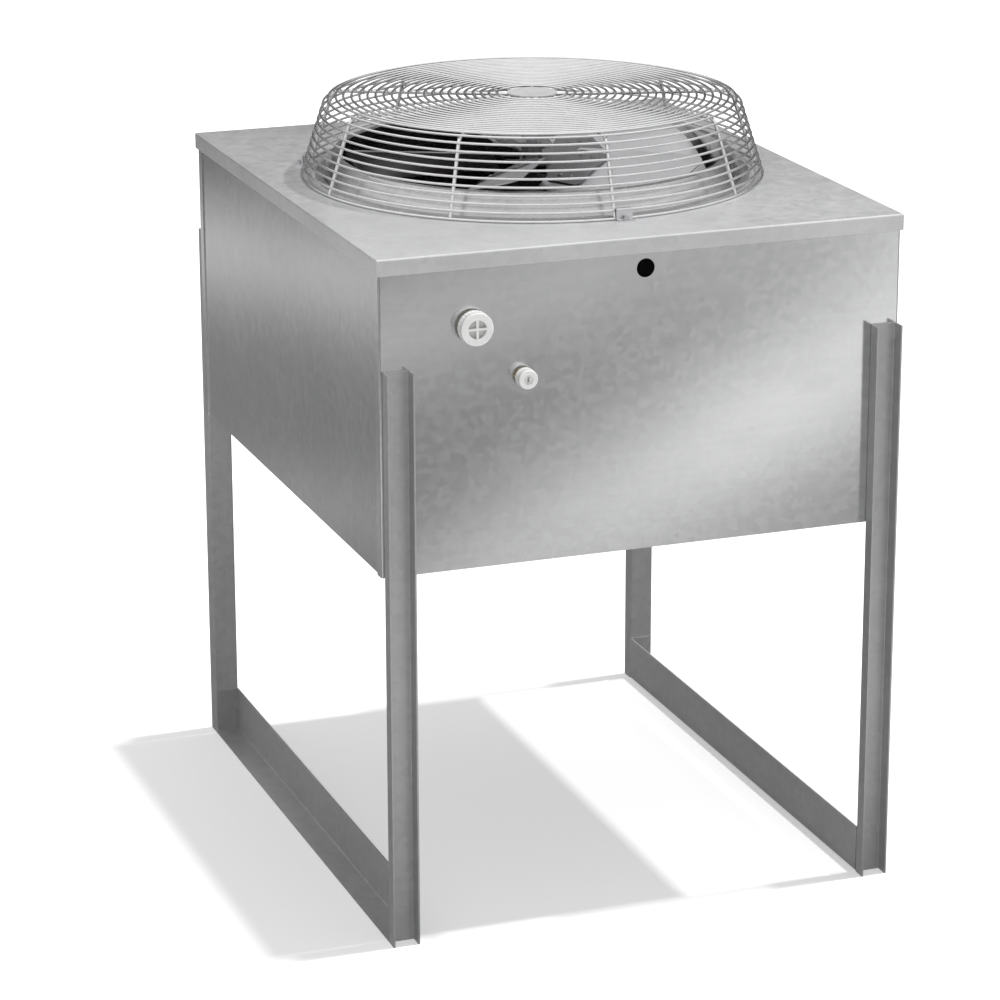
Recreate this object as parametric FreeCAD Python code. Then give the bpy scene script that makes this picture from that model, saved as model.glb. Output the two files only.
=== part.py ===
import FreeCAD, Part
import math
import os

# Remote air-cooled condenser: a sheet-steel box on two channel frames, with a flat coil in its
# open bottom, an upward fan in a raised collar on the lid and a domed wire guard over the fan.
# Millimetres. +X runs right along the front, +Y to the rear, +Z up.
# The origin is on the floor, under the fan's axis.

V = FreeCAD.Vector

# Box
LID_WIDTH = 838.0
LID_DEPTH = 958.0
LID_TOP = 1064.0
LID_OVERHANG = 4.0
SKIRT_DEPTH = 25.0
SHEET = 1.5
BEND_RADIUS = 1.5
BODY_HEIGHT = 482.0
PANEL_RETURN = 20.0
BOTTOM_FLANGE = 36.0
LAP_GAP = 0.1

# Leg frames
FRAME_INSET = 4.0
LEG_WIDTH = 42.0
LEG_FLANGE = 25.0
LEG_SHEET = 2.5
LEG_TOP_DROP = 168.0
RAIL_HEIGHT = 76.0

# Cable hole in the front sheet
CABLE_HOLE_RADIUS = 14.3
CABLE_HOLE_X = 0.0
CABLE_HOLE_DROP = 48.0

# Line fittings: in from the left edge of the front sheet and down from the lid
GAS_FITTING_INSET = 143.0
GAS_FITTING_DROP = 111.0
GAS_CAP_RADIUS = 25.5
GAS_TUBE_RADIUS = 11.0
LIQUID_FITTING_INSET = 222.0
LIQUID_FITTING_DROP = 194.0
LIQUID_CAP_RADIUS = 17.0
LIQUID_TUBE_RADIUS = 6.5
CAP_LENGTH = 18.6
CAP_WALL = 4.0
CAP_RIB = 2.5
CAP_FACE = 3.0
CAP_ROUND = 1.5
COLLAR_STEP = 4.0
NUT_THICKNESS = 6.0
NUT_SIDES = 6
FIT_GAP = 0.3

# Coil
COIL_THICKNESS = 66.0
COIL_LIFT = 24.0
COIL_SIDE_GAP = 31.0
COIL_END_GAP = 27.0
END_PLATE_RISE = 30.0
FIN_PITCH = 9.6
FIN_WIDTH = 2.4
FIN_GROOVE = 8.0
TUBE_BEND_RADIUS = 34.0
GAS_TUBE_INSET = 50.0
LIQUID_TUBE_INSET = 80.0

# Fan collar
THROAT_RADIUS = 304.0
THROAT_DROP = 45.0
COLLAR_HEIGHT = 35.0
COLLAR_SPREAD = 40.0
COLLAR_FOOT = 12.0
COLLAR_SHEET = 1.5
LIP_WIDTH = 10.0
LID_HOLE_CLEARANCE = 1.0

# Fan
TIP_CLEARANCE = 10.0
FAN_DROP = 17.0
BLADE_COUNT = 5
BLADE_SHEET = 2.0
BLADE_ROOT_HALF = 50.0
BLADE_TIP_HALF = 97.0
BLADE_PITCH = 24.0
BLADE_CAMBER_RADIUS = 380.0
BLADE_ROOT_RADIUS = 58.0
BLADE_CORNER = 32.0
FIRST_BLADE_ANGLE = -62.0
HUB_RADIUS = 44.0
HUB_PLATE = 3.0
HUB_COLLAR_RADIUS = 16.0
HUB_COLLAR_HEIGHT = 28.0
ARM_NECK_HALF = 16.0
ARM_PAD_HALF = 40.0
ARM_PAD_START = 68.0
ARM_PAD_END = 131.0
ARM_PAD_CORNER = 9.0
SHAFT_RADIUS = 8.0
SHAFT_CLEARANCE = 0.05
SHAFT_STUB = 6.0
SHAFT_END_GAP = 2.0

# Motor and its bracket
MOTOR_RADIUS = 70.0
MOTOR_HEIGHT = 130.0
MOTOR_NECK_RADIUS = 24.0
MOTOR_NECK_HEIGHT = 12.0
HUB_TO_MOTOR = 26.0
STRAP_COUNT = 4
STRAP_WIDTH = 30.0
STRAP_SHEET = 3.0
STRAP_FOOT = 26.0
STRAP_STANDOFF = 10.0
FIRST_STRAP_ANGLE = 45.0
BAND_HEIGHT = 36.0
BAND_DROP = 84.0

# Wire guard
GUARD_MARGIN = 21.0
GUARD_INSET = 38.5
GUARD_FOOT = 2.35
GUARD_HEIGHT = 123.5
GUARD_DOME_RISE = 4.0
GUARD_CORNER = 22.0
RING_PITCH = 12.7
RING_WIRE = 4.0
RIB_WIRE = 6.0
RIB_COUNT = 9
FIRST_RIB_ANGLE = -90.5
RING_SIDES = 36
RING_WELD = 0.6
GUARD_DISC_RADIUS = 39.5
GUARD_DISC_THICKNESS = 2.0
CLIP_EVERY = 3
CLIP_WIDTH = 26.0
CLIP_FOOT = 12.0
CLIP_SIDE_ANGLE = 1.95

# Places worked out from the sizes above
BODY_HALF_WIDTH = LID_WIDTH / 2 - LID_OVERHANG
BODY_HALF_DEPTH = LID_DEPTH / 2 - LID_OVERHANG
BODY_BOTTOM = LID_TOP - BODY_HEIGHT
PANEL_TOP = LID_TOP - SHEET
FRAME_HALF_WIDTH = BODY_HALF_WIDTH - FRAME_INSET
LEG_TOP = LID_TOP - LEG_TOP_DROP
CABLE_HOLE_Z = LID_TOP - CABLE_HOLE_DROP
FITTING_FACE_Y = -BODY_HALF_DEPTH
GAS_FITTING_X = GAS_FITTING_INSET - BODY_HALF_WIDTH
GAS_FITTING_Z = LID_TOP - GAS_FITTING_DROP
LIQUID_FITTING_X = LIQUID_FITTING_INSET - BODY_HALF_WIDTH
LIQUID_FITTING_Z = LID_TOP - LIQUID_FITTING_DROP
COIL_HALF_WIDTH = BODY_HALF_WIDTH - COIL_SIDE_GAP
COIL_HALF_DEPTH = BODY_HALF_DEPTH - COIL_END_GAP
COIL_BOTTOM = BODY_BOTTOM + SHEET + COIL_LIFT
COIL_TOP = COIL_BOTTOM + COIL_THICKNESS
END_PLATE_TOP = COIL_TOP + END_PLATE_RISE
COLLAR_TOP = LID_TOP + COLLAR_HEIGHT
COLLAR_FOOT_RADIUS = THROAT_RADIUS + COLLAR_SPREAD
FAN_RADIUS = THROAT_RADIUS - TIP_CLEARANCE
FAN_HEIGHT = COLLAR_TOP - FAN_DROP
MOTOR_TOP = FAN_HEIGHT - HUB_TO_MOTOR
SHAFT_BORE = SHAFT_RADIUS + SHAFT_CLEARANCE
GUARD_BASE_RADIUS = COLLAR_FOOT_RADIUS + GUARD_MARGIN
GUARD_SHOULDER_RADIUS = GUARD_BASE_RADIUS - GUARD_INSET


def direction(a, b):
    """Unit vector in the plane from point a to point b."""
    length = math.hypot(b[0] - a[0], b[1] - a[1])
    return ((b[0] - a[0]) / length, (b[1] - a[1]) / length)


def offset_line(points, distance):
    """Points of an open line moved to its left by a distance, with mitred corners."""
    moved = []
    last = len(points) - 1
    for i, point in enumerate(points):
        before = direction(points[i - 1], point) if i > 0 else direction(point, points[1])
        after = direction(point, points[i + 1]) if i < last else before
        normal_x = -(before[1] + after[1])
        normal_y = before[0] + after[0]
        scale = distance / (1 + before[0] * after[0] + before[1] * after[1])
        moved.append((point[0] + normal_x * scale, point[1] + normal_y * scale))
    return moved


def rounded_edges(points, radius_of_turn):
    """Edges of an open line whose corners are rounded by a radius that depends on the turn."""
    edges = []
    start = points[0]
    for i in range(1, len(points) - 1):
        before = direction(points[i - 1], points[i])
        after = direction(points[i], points[i + 1])
        turn = before[0] * after[1] - before[1] * after[0]
        angle = math.acos(before[0] * after[0] + before[1] * after[1])
        radius = radius_of_turn(turn)
        reach = radius * math.tan(angle / 2)
        corner = points[i]
        first = (corner[0] - before[0] * reach, corner[1] - before[1] * reach)
        last = (corner[0] + after[0] * reach, corner[1] + after[1] * reach)
        inward = direction(before, after)
        depth = radius / math.cos(angle / 2) - radius
        middle = (corner[0] + inward[0] * depth, corner[1] + inward[1] * depth)
        edges.append(Part.LineSegment(V(*start, 0), V(*first, 0)).toShape())
        edges.append(Part.Arc(V(*first, 0), V(*middle, 0), V(*last, 0)).toShape())
        start = last
    edges.append(Part.LineSegment(V(*start, 0), V(*points[-1], 0)).toShape())
    return edges


def bent_sheet(points, thickness, length, inner_radius=BEND_RADIUS):
    """Folded sheet extruded along Z: the line is one face in plan and the metal lies to its left,
    or to its right where the thickness is negative."""
    outer_radius = inner_radius + abs(thickness)
    other = offset_line(points, thickness)
    near = rounded_edges(points, lambda turn: outer_radius if turn * thickness > 0 else inner_radius)
    far = rounded_edges(other, lambda turn: inner_radius if turn * thickness > 0 else outer_radius)
    closing = [
        Part.LineSegment(V(*points[-1], 0), V(*other[-1], 0)).toShape(),
        Part.LineSegment(V(*other[0], 0), V(*points[0], 0)).toShape(),
    ]
    wire = Part.Wire(Part.__sortEdges__(near + far + closing))
    return Part.Face(wire).extrude(V(0, 0, length))


def box(x0, x1, y0, y1, z0, z1):
    """Box between two corners given as ranges."""
    return Part.makeBox(x1 - x0, y1 - y0, z1 - z0, V(x0, y0, z0))


def mirrored_x(shape):
    """Mirror image across the plane x = 0."""
    return shape.mirror(V(0, 0, 0), V(1, 0, 0))


def mirrored_y(shape):
    """Mirror image across the plane y = 0."""
    return shape.mirror(V(0, 0, 0), V(0, 1, 0))


def revolved(points):
    """Solid of revolution about Z from a closed outline of radius and height."""
    corners = [V(radius, 0, height) for radius, height in points]
    face = Part.Face(Part.makePolygon(corners + corners[:1]))
    return face.revolve(V(0, 0, 0), V(0, 0, 1), 360)


def front_panel_blank():
    """Front or rear sheet: a web with returns round both sides and a flange under it."""
    x = BODY_HALF_WIDTH
    y = -BODY_HALF_DEPTH
    height = PANEL_TOP - BODY_BOTTOM
    plan = [(-x, y + PANEL_RETURN), (-x, y), (x, y), (x, y + PANEL_RETURN)]
    shell = bent_sheet(plan, SHEET, height).translate(V(0, 0, BODY_BOTTOM))
    side = x - 2 * (SHEET + LAP_GAP) - BEND_RADIUS
    flange = box(-side, side, y + SHEET, y + BOTTOM_FLANGE, BODY_BOTTOM, BODY_BOTTOM + SHEET)
    return shell.fuse(flange).removeSplitter()


def hole_along_y(x, z, radius):
    """Cutter for a round hole through the front panel."""
    return Part.makeCylinder(radius, 4 * SHEET, V(x, FITTING_FACE_Y - SHEET, z), V(0, 1, 0))


def front_panel():
    """Front sheet with the cable hole and the holes of the two line fittings."""
    panel = front_panel_blank()
    holes = [
        hole_along_y(CABLE_HOLE_X, CABLE_HOLE_Z, CABLE_HOLE_RADIUS),
        hole_along_y(GAS_FITTING_X, GAS_FITTING_Z, GAS_TUBE_RADIUS + FIT_GAP),
        hole_along_y(LIQUID_FITTING_X, LIQUID_FITTING_Z, LIQUID_TUBE_RADIUS + FIT_GAP),
    ]
    return panel.cut(holes)


def side_panel():
    """Left sheet: lies inside the returns of the front and rear sheets, with a flange inward."""
    outer = -BODY_HALF_WIDTH + SHEET + LAP_GAP
    half = BODY_HALF_DEPTH - SHEET - BEND_RADIUS
    section = [(outer + BOTTOM_FLANGE, BODY_BOTTOM), (outer, BODY_BOTTOM), (outer, PANEL_TOP)]
    # The section lies in X and Z: it is drawn in plan, extruded and then stood up.
    sheet = bent_sheet(section[::-1], SHEET, 2 * half)
    sheet.rotate(V(0, 0, 0), V(1, 0, 0), 90)
    sheet.translate(V(0, half, 0))
    corner = BOTTOM_FLANGE + LAP_GAP
    flange_end = BODY_HALF_DEPTH - corner
    for low, high in ((-half, -flange_end), (flange_end, half)):
        notch = box(outer + SHEET + BEND_RADIUS, 0, low, high, BODY_BOTTOM - 1, BODY_BOTTOM + SHEET + 1)
        sheet = sheet.cut(notch)
    return sheet


def top_panel():
    """Lid: a flat sheet with a skirt all round and the hole for the fan's collar."""
    x = LID_WIDTH / 2
    y = LID_DEPTH / 2
    outer = box(-x, x, -y, y, LID_TOP - SKIRT_DEPTH, LID_TOP)
    rims = [e for e in outer.Edges if e.BoundBox.ZMin > LID_TOP - 1 or e.BoundBox.ZLength > 1]
    outer = outer.makeFillet(SHEET + BEND_RADIUS, rims)
    t = SHEET
    inner = box(-x + t, x - t, -y + t, y - t, LID_TOP - SKIRT_DEPTH - 1, LID_TOP - t)
    rims = [e for e in inner.Edges if e.BoundBox.ZMin > LID_TOP - t - 1 or e.BoundBox.ZLength > 1]
    inner = inner.makeFillet(BEND_RADIUS, rims)
    hole_radius = THROAT_RADIUS + COLLAR_SHEET + LID_HOLE_CLEARANCE
    hole = Part.makeCylinder(hole_radius, 4 * t, V(0, 0, LID_TOP - 2 * t))
    return outer.cut(inner).cut(hole)


def fan_collar():
    """Raised collar: a foot on the lid, a cone up to a rolled lip and a throat down through the lid."""
    t = COLLAR_SHEET
    low = LID_TOP - THROAT_DROP
    lip = THROAT_RADIUS + LIP_WIDTH
    outline = [
        (THROAT_RADIUS, low),
        (THROAT_RADIUS + t, low),
        (THROAT_RADIUS + t, COLLAR_TOP - t),
        (lip, COLLAR_TOP - t),
        (COLLAR_FOOT_RADIUS - COLLAR_FOOT, LID_TOP),
        (COLLAR_FOOT_RADIUS, LID_TOP),
        (COLLAR_FOOT_RADIUS, LID_TOP + t),
        (COLLAR_FOOT_RADIUS - COLLAR_FOOT + t, LID_TOP + t),
        (lip + t, COLLAR_TOP),
        (THROAT_RADIUS, COLLAR_TOP),
    ]
    return revolved(outline)


def leg():
    """Front left leg: a channel with its web on the front sheet and its flanges forward."""
    x = -FRAME_HALF_WIDTH
    y = -BODY_HALF_DEPTH
    plan = [(x + LEG_WIDTH, y - LEG_FLANGE), (x + LEG_WIDTH, y), (x, y), (x, y - LEG_FLANGE)]
    return bent_sheet(plan, LEG_SHEET, LEG_TOP)


def floor_rail():
    """Left floor rail: an angle with its upright at the inside and tabs against both legs' webs."""
    x = -FRAME_HALF_WIDTH
    y = BODY_HALF_DEPTH
    inside = x + LEG_WIDTH
    section = [(x, 0), (inside, 0), (inside, RAIL_HEIGHT)]
    rail = bent_sheet(section, LEG_SHEET, 2 * y)
    rail.rotate(V(0, 0, 0), V(1, 0, 0), 90)
    rail.translate(V(0, y, 0))
    tab = box(x + LEG_SHEET, inside - LEG_SHEET / 2, -y, -y + LEG_SHEET, LEG_SHEET / 2, RAIL_HEIGHT)
    return rail.fuse([tab, mirrored_y(tab)]).removeSplitter()


def fitting_cap(x, z, cap_radius, stub_radius, cross):
    """Screwed cap over a fitting's end: a raised rim round a sunk face, with a cross on the large one."""
    front = FITTING_FACE_Y - NUT_THICKNESS - FIT_GAP - CAP_LENGTH
    cap = Part.makeCylinder(cap_radius, CAP_LENGTH, V(x, front, z), V(0, 1, 0))
    cap = cap.makeFillet(CAP_ROUND, [e for e in cap.Edges if e.Closed and e.BoundBox.YMax < front + 1])
    dish = Part.makeCylinder(cap_radius - CAP_WALL, CAP_FACE, V(x, front, z), V(0, 1, 0))
    bore_front = front + 2 * CAP_FACE
    bore = Part.makeCylinder(stub_radius + FIT_GAP, CAP_LENGTH, V(x, bore_front, z), V(0, 1, 0))
    cap = cap.cut([dish, bore])
    if cross:
        half = cap_radius - CAP_WALL / 2
        rib = CAP_RIB / 2
        upright = box(x - rib, x + rib, front + CAP_ROUND, front + CAP_FACE, z - half, z + half)
        level = box(x - half, x + half, front + CAP_ROUND, front + CAP_FACE, z - rib, z + rib)
        cap = cap.fuse([upright, level]).removeSplitter()
    return cap


def fitting_nut(x, y, z, radius):
    """Hexagon nut with its axis along Y, from y to the rear."""
    angles = [2 * math.pi * i / NUT_SIDES for i in range(NUT_SIDES)]
    corners = [V(x + radius * math.cos(a), y, z + radius * math.sin(a)) for a in angles]
    return Part.Face(Part.makePolygon(corners + corners[:1])).extrude(V(0, NUT_THICKNESS, 0))


def line_fitting(x, z, stub_radius, cap_radius):
    """Line fitting: a stub through the front sheet, held by a nut on each side of it."""
    front = FITTING_FACE_Y - NUT_THICKNESS - CAP_LENGTH + 2 * CAP_FACE
    back = FITTING_FACE_Y + SHEET + FIT_GAP + NUT_THICKNESS
    stub = Part.makeCylinder(stub_radius, back - front, V(x, front, z), V(0, 1, 0))
    wide = cap_radius - COLLAR_STEP
    outside = fitting_nut(x, FITTING_FACE_Y - NUT_THICKNESS, z, wide)
    inside = fitting_nut(x, back - NUT_THICKNESS, z, wide)
    return stub.fuse([outside, inside]).removeSplitter()


def fitting_back():
    """Y of a fitting's inner end."""
    return FITTING_FACE_Y + SHEET + FIT_GAP + NUT_THICKNESS


def line_tube(x, z, radius, inset):
    """Tube from a fitting's inner end: back, down behind the front sheet and left over the coil."""
    start_y = fitting_back()
    y = FITTING_FACE_Y + inset
    end_z = COIL_TOP + radius + FIT_GAP
    r = TUBE_BEND_RADIUS
    k = r * (1 - math.sqrt(0.5))
    end_x = -COIL_HALF_WIDTH
    start = V(x, start_y, z)
    bend_a = V(x, y - r, z)
    bend_b = V(x, y, z - r)
    bend_c = V(x, y, end_z + r)
    bend_d = V(x - r, y, end_z)
    edges = [
        Part.LineSegment(start, bend_a).toShape(),
        Part.Arc(bend_a, V(x, y - k, z - k), bend_b).toShape(),
        Part.LineSegment(bend_b, bend_c).toShape(),
        Part.Arc(bend_c, V(x - k, y, end_z + k), bend_d).toShape(),
        Part.LineSegment(bend_d, V(end_x, y, end_z)).toShape(),
    ]
    path = Part.Wire(edges)
    profile = Part.Wire(Part.makeCircle(radius, start, V(0, 1, 0)))
    return path.makePipeShell([profile], True, True)


def coil_end_plate():
    """Left end plate of the coil, standing on the side sheet's flange."""
    x = -COIL_HALF_WIDTH
    return box(x - SHEET, x, -COIL_HALF_DEPTH, COIL_HALF_DEPTH, BODY_BOTTOM + SHEET, END_PLATE_TOP)


def fin_edge(z, depth):
    """Corners along one face of the fin stack from left to right, with a groove between fins."""
    count = int((2 * COIL_HALF_WIDTH - FIN_WIDTH) / FIN_PITCH)
    half = (FIN_PITCH - FIN_WIDTH) / 2
    corners = [(-COIL_HALF_WIDTH, z)]
    for i in range(count):
        middle = (i - (count - 1) / 2) * FIN_PITCH
        corners += [(middle - half, z), (middle - half, z + depth), (middle + half, z + depth), (middle + half, z)]
    return corners + [(COIL_HALF_WIDTH, z)]


def coil_fin_block():
    """Fin stack of the coil between its end plates, with grooves between the main fins on both faces."""
    outline = fin_edge(COIL_BOTTOM, FIN_GROOVE) + fin_edge(COIL_TOP, -FIN_GROOVE)[::-1]
    corners = [V(x, -COIL_HALF_DEPTH, z) for x, z in outline]
    face = Part.Face(Part.makePolygon(corners + corners[:1]))
    return face.extrude(V(0, 2 * COIL_HALF_DEPTH, 0))


def rolled_layer(inner_radius, thickness):
    """Rolled sheet about the blades' camber axis, tilted to their pitch."""
    centre = V(0, 0, -BLADE_CAMBER_RADIUS)
    layer = Part.makeCylinder(inner_radius + thickness, FAN_RADIUS, centre, V(1, 0, 0))
    layer = layer.cut(Part.makeCylinder(inner_radius, FAN_RADIUS, centre, V(1, 0, 0)))
    layer.rotate(V(0, 0, 0), V(1, 0, 0), BLADE_PITCH)
    return layer


def plan_prism(edges, corner, rounded_from):
    """Upright prism of a plan outline, its upright edges beyond a radius rounded."""
    height = 2 * BLADE_TIP_HALF
    prism = Part.Face(Part.Wire(edges)).extrude(V(0, 0, height))
    prism.translate(V(0, 0, -height / 2))
    upright = [e for e in prism.Edges if e.BoundBox.ZLength > height / 2]
    return prism.makeFillet(corner, [e for e in upright if e.BoundBox.XMin > rounded_from])


def blade_outline():
    """Plan of a blade: narrow at the root, wide and rounded at the tip circle."""
    root = BLADE_ROOT_RADIUS
    half = BLADE_TIP_HALF
    tip_x = math.sqrt(FAN_RADIUS ** 2 - half ** 2)
    edges = [
        Part.LineSegment(V(root, -BLADE_ROOT_HALF, 0), V(tip_x, -half, 0)).toShape(),
        Part.Arc(V(tip_x, -half, 0), V(FAN_RADIUS, 0, 0), V(tip_x, half, 0)).toShape(),
        Part.LineSegment(V(tip_x, half, 0), V(root, BLADE_ROOT_HALF, 0)).toShape(),
        Part.LineSegment(V(root, BLADE_ROOT_HALF, 0), V(root, -BLADE_ROOT_HALF, 0)).toShape(),
    ]
    return plan_prism(edges, BLADE_CORNER, root + 1)


def arm_outline():
    """Plan of a hub arm: a neck that widens to the pad riveted on the blade's root."""
    start = HUB_COLLAR_RADIUS + HUB_PLATE
    upper = [
        (start, ARM_NECK_HALF),
        (HUB_RADIUS, ARM_NECK_HALF),
        (ARM_PAD_START, ARM_PAD_HALF),
        (ARM_PAD_END, ARM_PAD_HALF),
    ]
    lower = [(x, -y) for x, y in reversed(upper)]
    corners = [V(x, y, 0) for x, y in upper + lower]
    return plan_prism(Part.makePolygon(corners + corners[:1]).Edges, ARM_PAD_CORNER, ARM_PAD_START - 1)


def at_fan(piece, number):
    """Turn a piece drawn along +X to its place in the fan and lift it to the fan's middle plane."""
    piece = piece.copy()
    piece.rotate(V(0, 0, 0), V(0, 0, 1), FIRST_BLADE_ANGLE + number * 360 / BLADE_COUNT)
    piece.translate(V(0, 0, FAN_HEIGHT))
    return piece


def fan_blades():
    """The blades: rolled sheets trimmed to their plan."""
    one = rolled_layer(BLADE_CAMBER_RADIUS, BLADE_SHEET).common(blade_outline())
    return [at_fan(one, number) for number in range(BLADE_COUNT)]


def fan_hub():
    """Fan hub: a disc with an arm lying on each blade's root and a collar round the shaft."""
    disc_height = BLADE_SHEET + HUB_PLATE
    disc = Part.makeCylinder(HUB_RADIUS, disc_height)
    collar = Part.makeCylinder(HUB_COLLAR_RADIUS, HUB_COLLAR_HEIGHT)
    bore = Part.makeCylinder(SHAFT_BORE, HUB_COLLAR_HEIGHT)
    plain = disc.fuse(collar)
    plain.translate(V(0, 0, FAN_HEIGHT))
    bore.translate(V(0, 0, FAN_HEIGHT))
    arm = rolled_layer(BLADE_CAMBER_RADIUS + BLADE_SHEET, HUB_PLATE).common(arm_outline())
    arms = [at_fan(arm, number) for number in range(BLADE_COUNT)]
    return plain.fuse(arms).removeSplitter().cut(bore)


def fan_shaft():
    """Shaft fixed in the hub and turning in the motor."""
    low = MOTOR_TOP - MOTOR_HEIGHT / 2 + SHAFT_END_GAP
    top = FAN_HEIGHT + HUB_COLLAR_HEIGHT + SHAFT_STUB
    return Part.makeCylinder(SHAFT_RADIUS, top - low, V(0, 0, low))


def fan_motor():
    """Motor: a can with rounded ends, a neck at the top and a blind bore for the shaft."""
    bottom = MOTOR_TOP - MOTOR_NECK_HEIGHT - MOTOR_HEIGHT
    can = Part.makeCylinder(MOTOR_RADIUS, MOTOR_HEIGHT, V(0, 0, bottom))
    can = can.makeFillet(MOTOR_NECK_HEIGHT, [e for e in can.Edges if e.Closed])
    neck_length = 2 * MOTOR_NECK_HEIGHT
    neck = Part.makeCylinder(MOTOR_NECK_RADIUS, neck_length, V(0, 0, MOTOR_TOP - neck_length))
    bore = Part.makeCylinder(SHAFT_BORE, MOTOR_HEIGHT, V(0, 0, MOTOR_TOP - MOTOR_HEIGHT / 2))
    return can.fuse(neck).removeSplitter().cut(bore)


def spoke(shape, angle):
    """Stand up a strip drawn as radius and height in plan and turn it to its angle about Z."""
    shape = shape.copy()
    shape.rotate(V(0, 0, 0), V(1, 0, 0), 90)
    middle = (shape.BoundBox.YMin + shape.BoundBox.YMax) / 2
    shape.translate(V(0, -middle, 0))
    shape.rotate(V(0, 0, 0), V(0, 0, 1), angle)
    return shape


def motor_bracket():
    """Band round the motor with bent straps out and up to the underside of the lid."""
    low = MOTOR_TOP - BAND_DROP
    band = Part.makeCylinder(MOTOR_RADIUS + STRAP_SHEET, BAND_HEIGHT, V(0, 0, low))
    middle = low + BAND_HEIGHT / 2
    reach = THROAT_RADIUS + COLLAR_SHEET + STRAP_STANDOFF
    top = LID_TOP - SHEET
    profile = [(MOTOR_RADIUS, middle), (reach, middle), (reach, top), (reach + STRAP_FOOT, top)]
    strap = bent_sheet(profile, -STRAP_SHEET, STRAP_WIDTH, STRAP_SHEET)
    arms = [spoke(strap, FIRST_STRAP_ANGLE + i * 360 / STRAP_COUNT) for i in range(STRAP_COUNT)]
    seat = Part.makeCylinder(MOTOR_RADIUS + FIT_GAP, 2 * BAND_HEIGHT, V(0, 0, low - BAND_HEIGHT / 2))
    return band.fuse(arms).removeSplitter().cut(seat)


def guard_line():
    """Corner points, as radius and height, of the line through the centres of the guard's rings."""
    foot = LID_TOP + GUARD_FOOT
    edge = LID_TOP + GUARD_HEIGHT
    return [(GUARD_BASE_RADIUS, foot), (GUARD_SHOULDER_RADIUS, edge), (0, edge + GUARD_DOME_RISE)]


def ring_places():
    """Radius and height of each ring, at equal steps along the guard's line from the base."""
    line = Part.Wire(rounded_edges(guard_line(), lambda turn: GUARD_CORNER))
    count = int(line.Length / RING_PITCH)
    return [(p.x, p.y) for p in line.discretize(Distance=RING_PITCH)[:count + 1]]


def polygon_prism(radius, height, low, sides):
    """Upright prism with a corner at the first rib's angle."""
    first = math.radians(FIRST_RIB_ANGLE)
    corners = []
    for i in range(sides):
        angle = first + 2 * math.pi * i / sides
        corners.append(V(radius * math.cos(angle), radius * math.sin(angle), low))
    return Part.Face(Part.makePolygon(corners + corners[:1])).extrude(V(0, 0, height))


def guard_ring(radius, height):
    """One ring of square wire, drawn as a polygon with few sides."""
    sides = RING_SIDES if radius > GUARD_SHOULDER_RADIUS / 2 else RING_SIDES // 2
    half = RING_WIRE / 2
    outer = polygon_prism(radius + half, RING_WIRE, height - half, sides)
    return outer.cut(polygon_prism(radius - half, RING_WIRE, height - half, sides))


def guard_ribs():
    """Rib wires inside the rings, from the lid up over the shoulder to the middle."""
    inner = offset_line(guard_line(), RING_WIRE / 2)
    inner[-1] = (GUARD_DISC_RADIUS - RIB_WIRE, inner[-1][1])
    strip = bent_sheet(inner, RIB_WIRE, RIB_WIRE, GUARD_CORNER - RING_WIRE / 2 - RIB_WIRE)
    return [spoke(strip, FIRST_RIB_ANGLE + i * 360 / RIB_COUNT) for i in range(RIB_COUNT)]


def guard_split():
    """Upright cylinder that parts the guard's flat top from its shoulder and side."""
    radius = GUARD_SHOULDER_RADIUS - GUARD_CORNER - RING_WIRE
    return Part.makeCylinder(radius, 2 * GUARD_HEIGHT, V(0, 0, LID_TOP))


def guard_side():
    """Side of the guard: rings welded a little into the ribs, over the shoulder."""
    split = guard_split()
    places = [(r, z) for r, z in ring_places() if r - RING_WIRE / 2 > split.BoundBox.XMax]
    rings = [guard_ring(r - RING_WELD, z) for r, z in places]
    ribs = [rib.cut(split) for rib in guard_ribs()]
    return rings[0].fuse(rings[1:] + ribs).removeSplitter()


def guard_top():
    """Flat top of the guard: rings welded a little into the upper faces of the ribs' flat ends."""
    split = guard_split()
    edge = split.BoundBox.XMax + RING_WIRE / 2
    places = [(r, z) for r, z in ring_places() if GUARD_DISC_RADIUS + RING_WIRE < r <= edge]
    rings = [guard_ring(r, z - RING_WELD) for r, z in places]
    ribs = [rib.common(split) for rib in guard_ribs()]
    middle = Part.makeCylinder(GUARD_DISC_RADIUS, RIB_WIRE, V(0, 0, ribs[0].BoundBox.ZMax - RIB_WIRE))
    return rings[0].fuse(rings[1:] + ribs + [middle]).removeSplitter()


def guard_centre_disc():
    """Plate over the middle of the guard."""
    top = max(rib.BoundBox.ZMax for rib in guard_ribs())
    return Part.makeCylinder(GUARD_DISC_RADIUS, GUARD_DISC_THICKNESS, V(0, 0, top))


def guard_clip(number):
    """Clip on the lid: a foot, an upright outside the lowest rings and a tongue over the second."""
    outer = GUARD_BASE_RADIUS + RING_WIRE / 2 + FIT_GAP
    held_radius, held_height = ring_places()[1]
    high = held_height + RING_WIRE / 2 + FIT_GAP
    profile = [
        (outer + SHEET + CLIP_FOOT, LID_TOP + SHEET),
        (outer + SHEET, LID_TOP + SHEET),
        (outer + SHEET, high + SHEET),
        (held_radius - RING_WELD, high + SHEET),
    ]
    strip = bent_sheet(profile, SHEET, CLIP_WIDTH, SHEET / 2)
    return spoke(strip, FIRST_RIB_ANGLE + CLIP_SIDE_ANGLE + number * 360 * CLIP_EVERY / RIB_COUNT)


def save(name, shape):
    """Write one node and say how it came out."""
    shape.exportStep("parts/" + name + ".step")
    print(name, "solids", len(shape.Solids), "valid", shape.isValid(), "volume", round(shape.Volume))


os.makedirs("parts", exist_ok=True)

save("top_panel", top_panel())
save("front_panel", front_panel())
save("rear_panel", mirrored_y(front_panel_blank()))
save("left_side_panel", side_panel())
save("right_side_panel", mirrored_x(side_panel()))
save("fan_collar", fan_collar())

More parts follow.
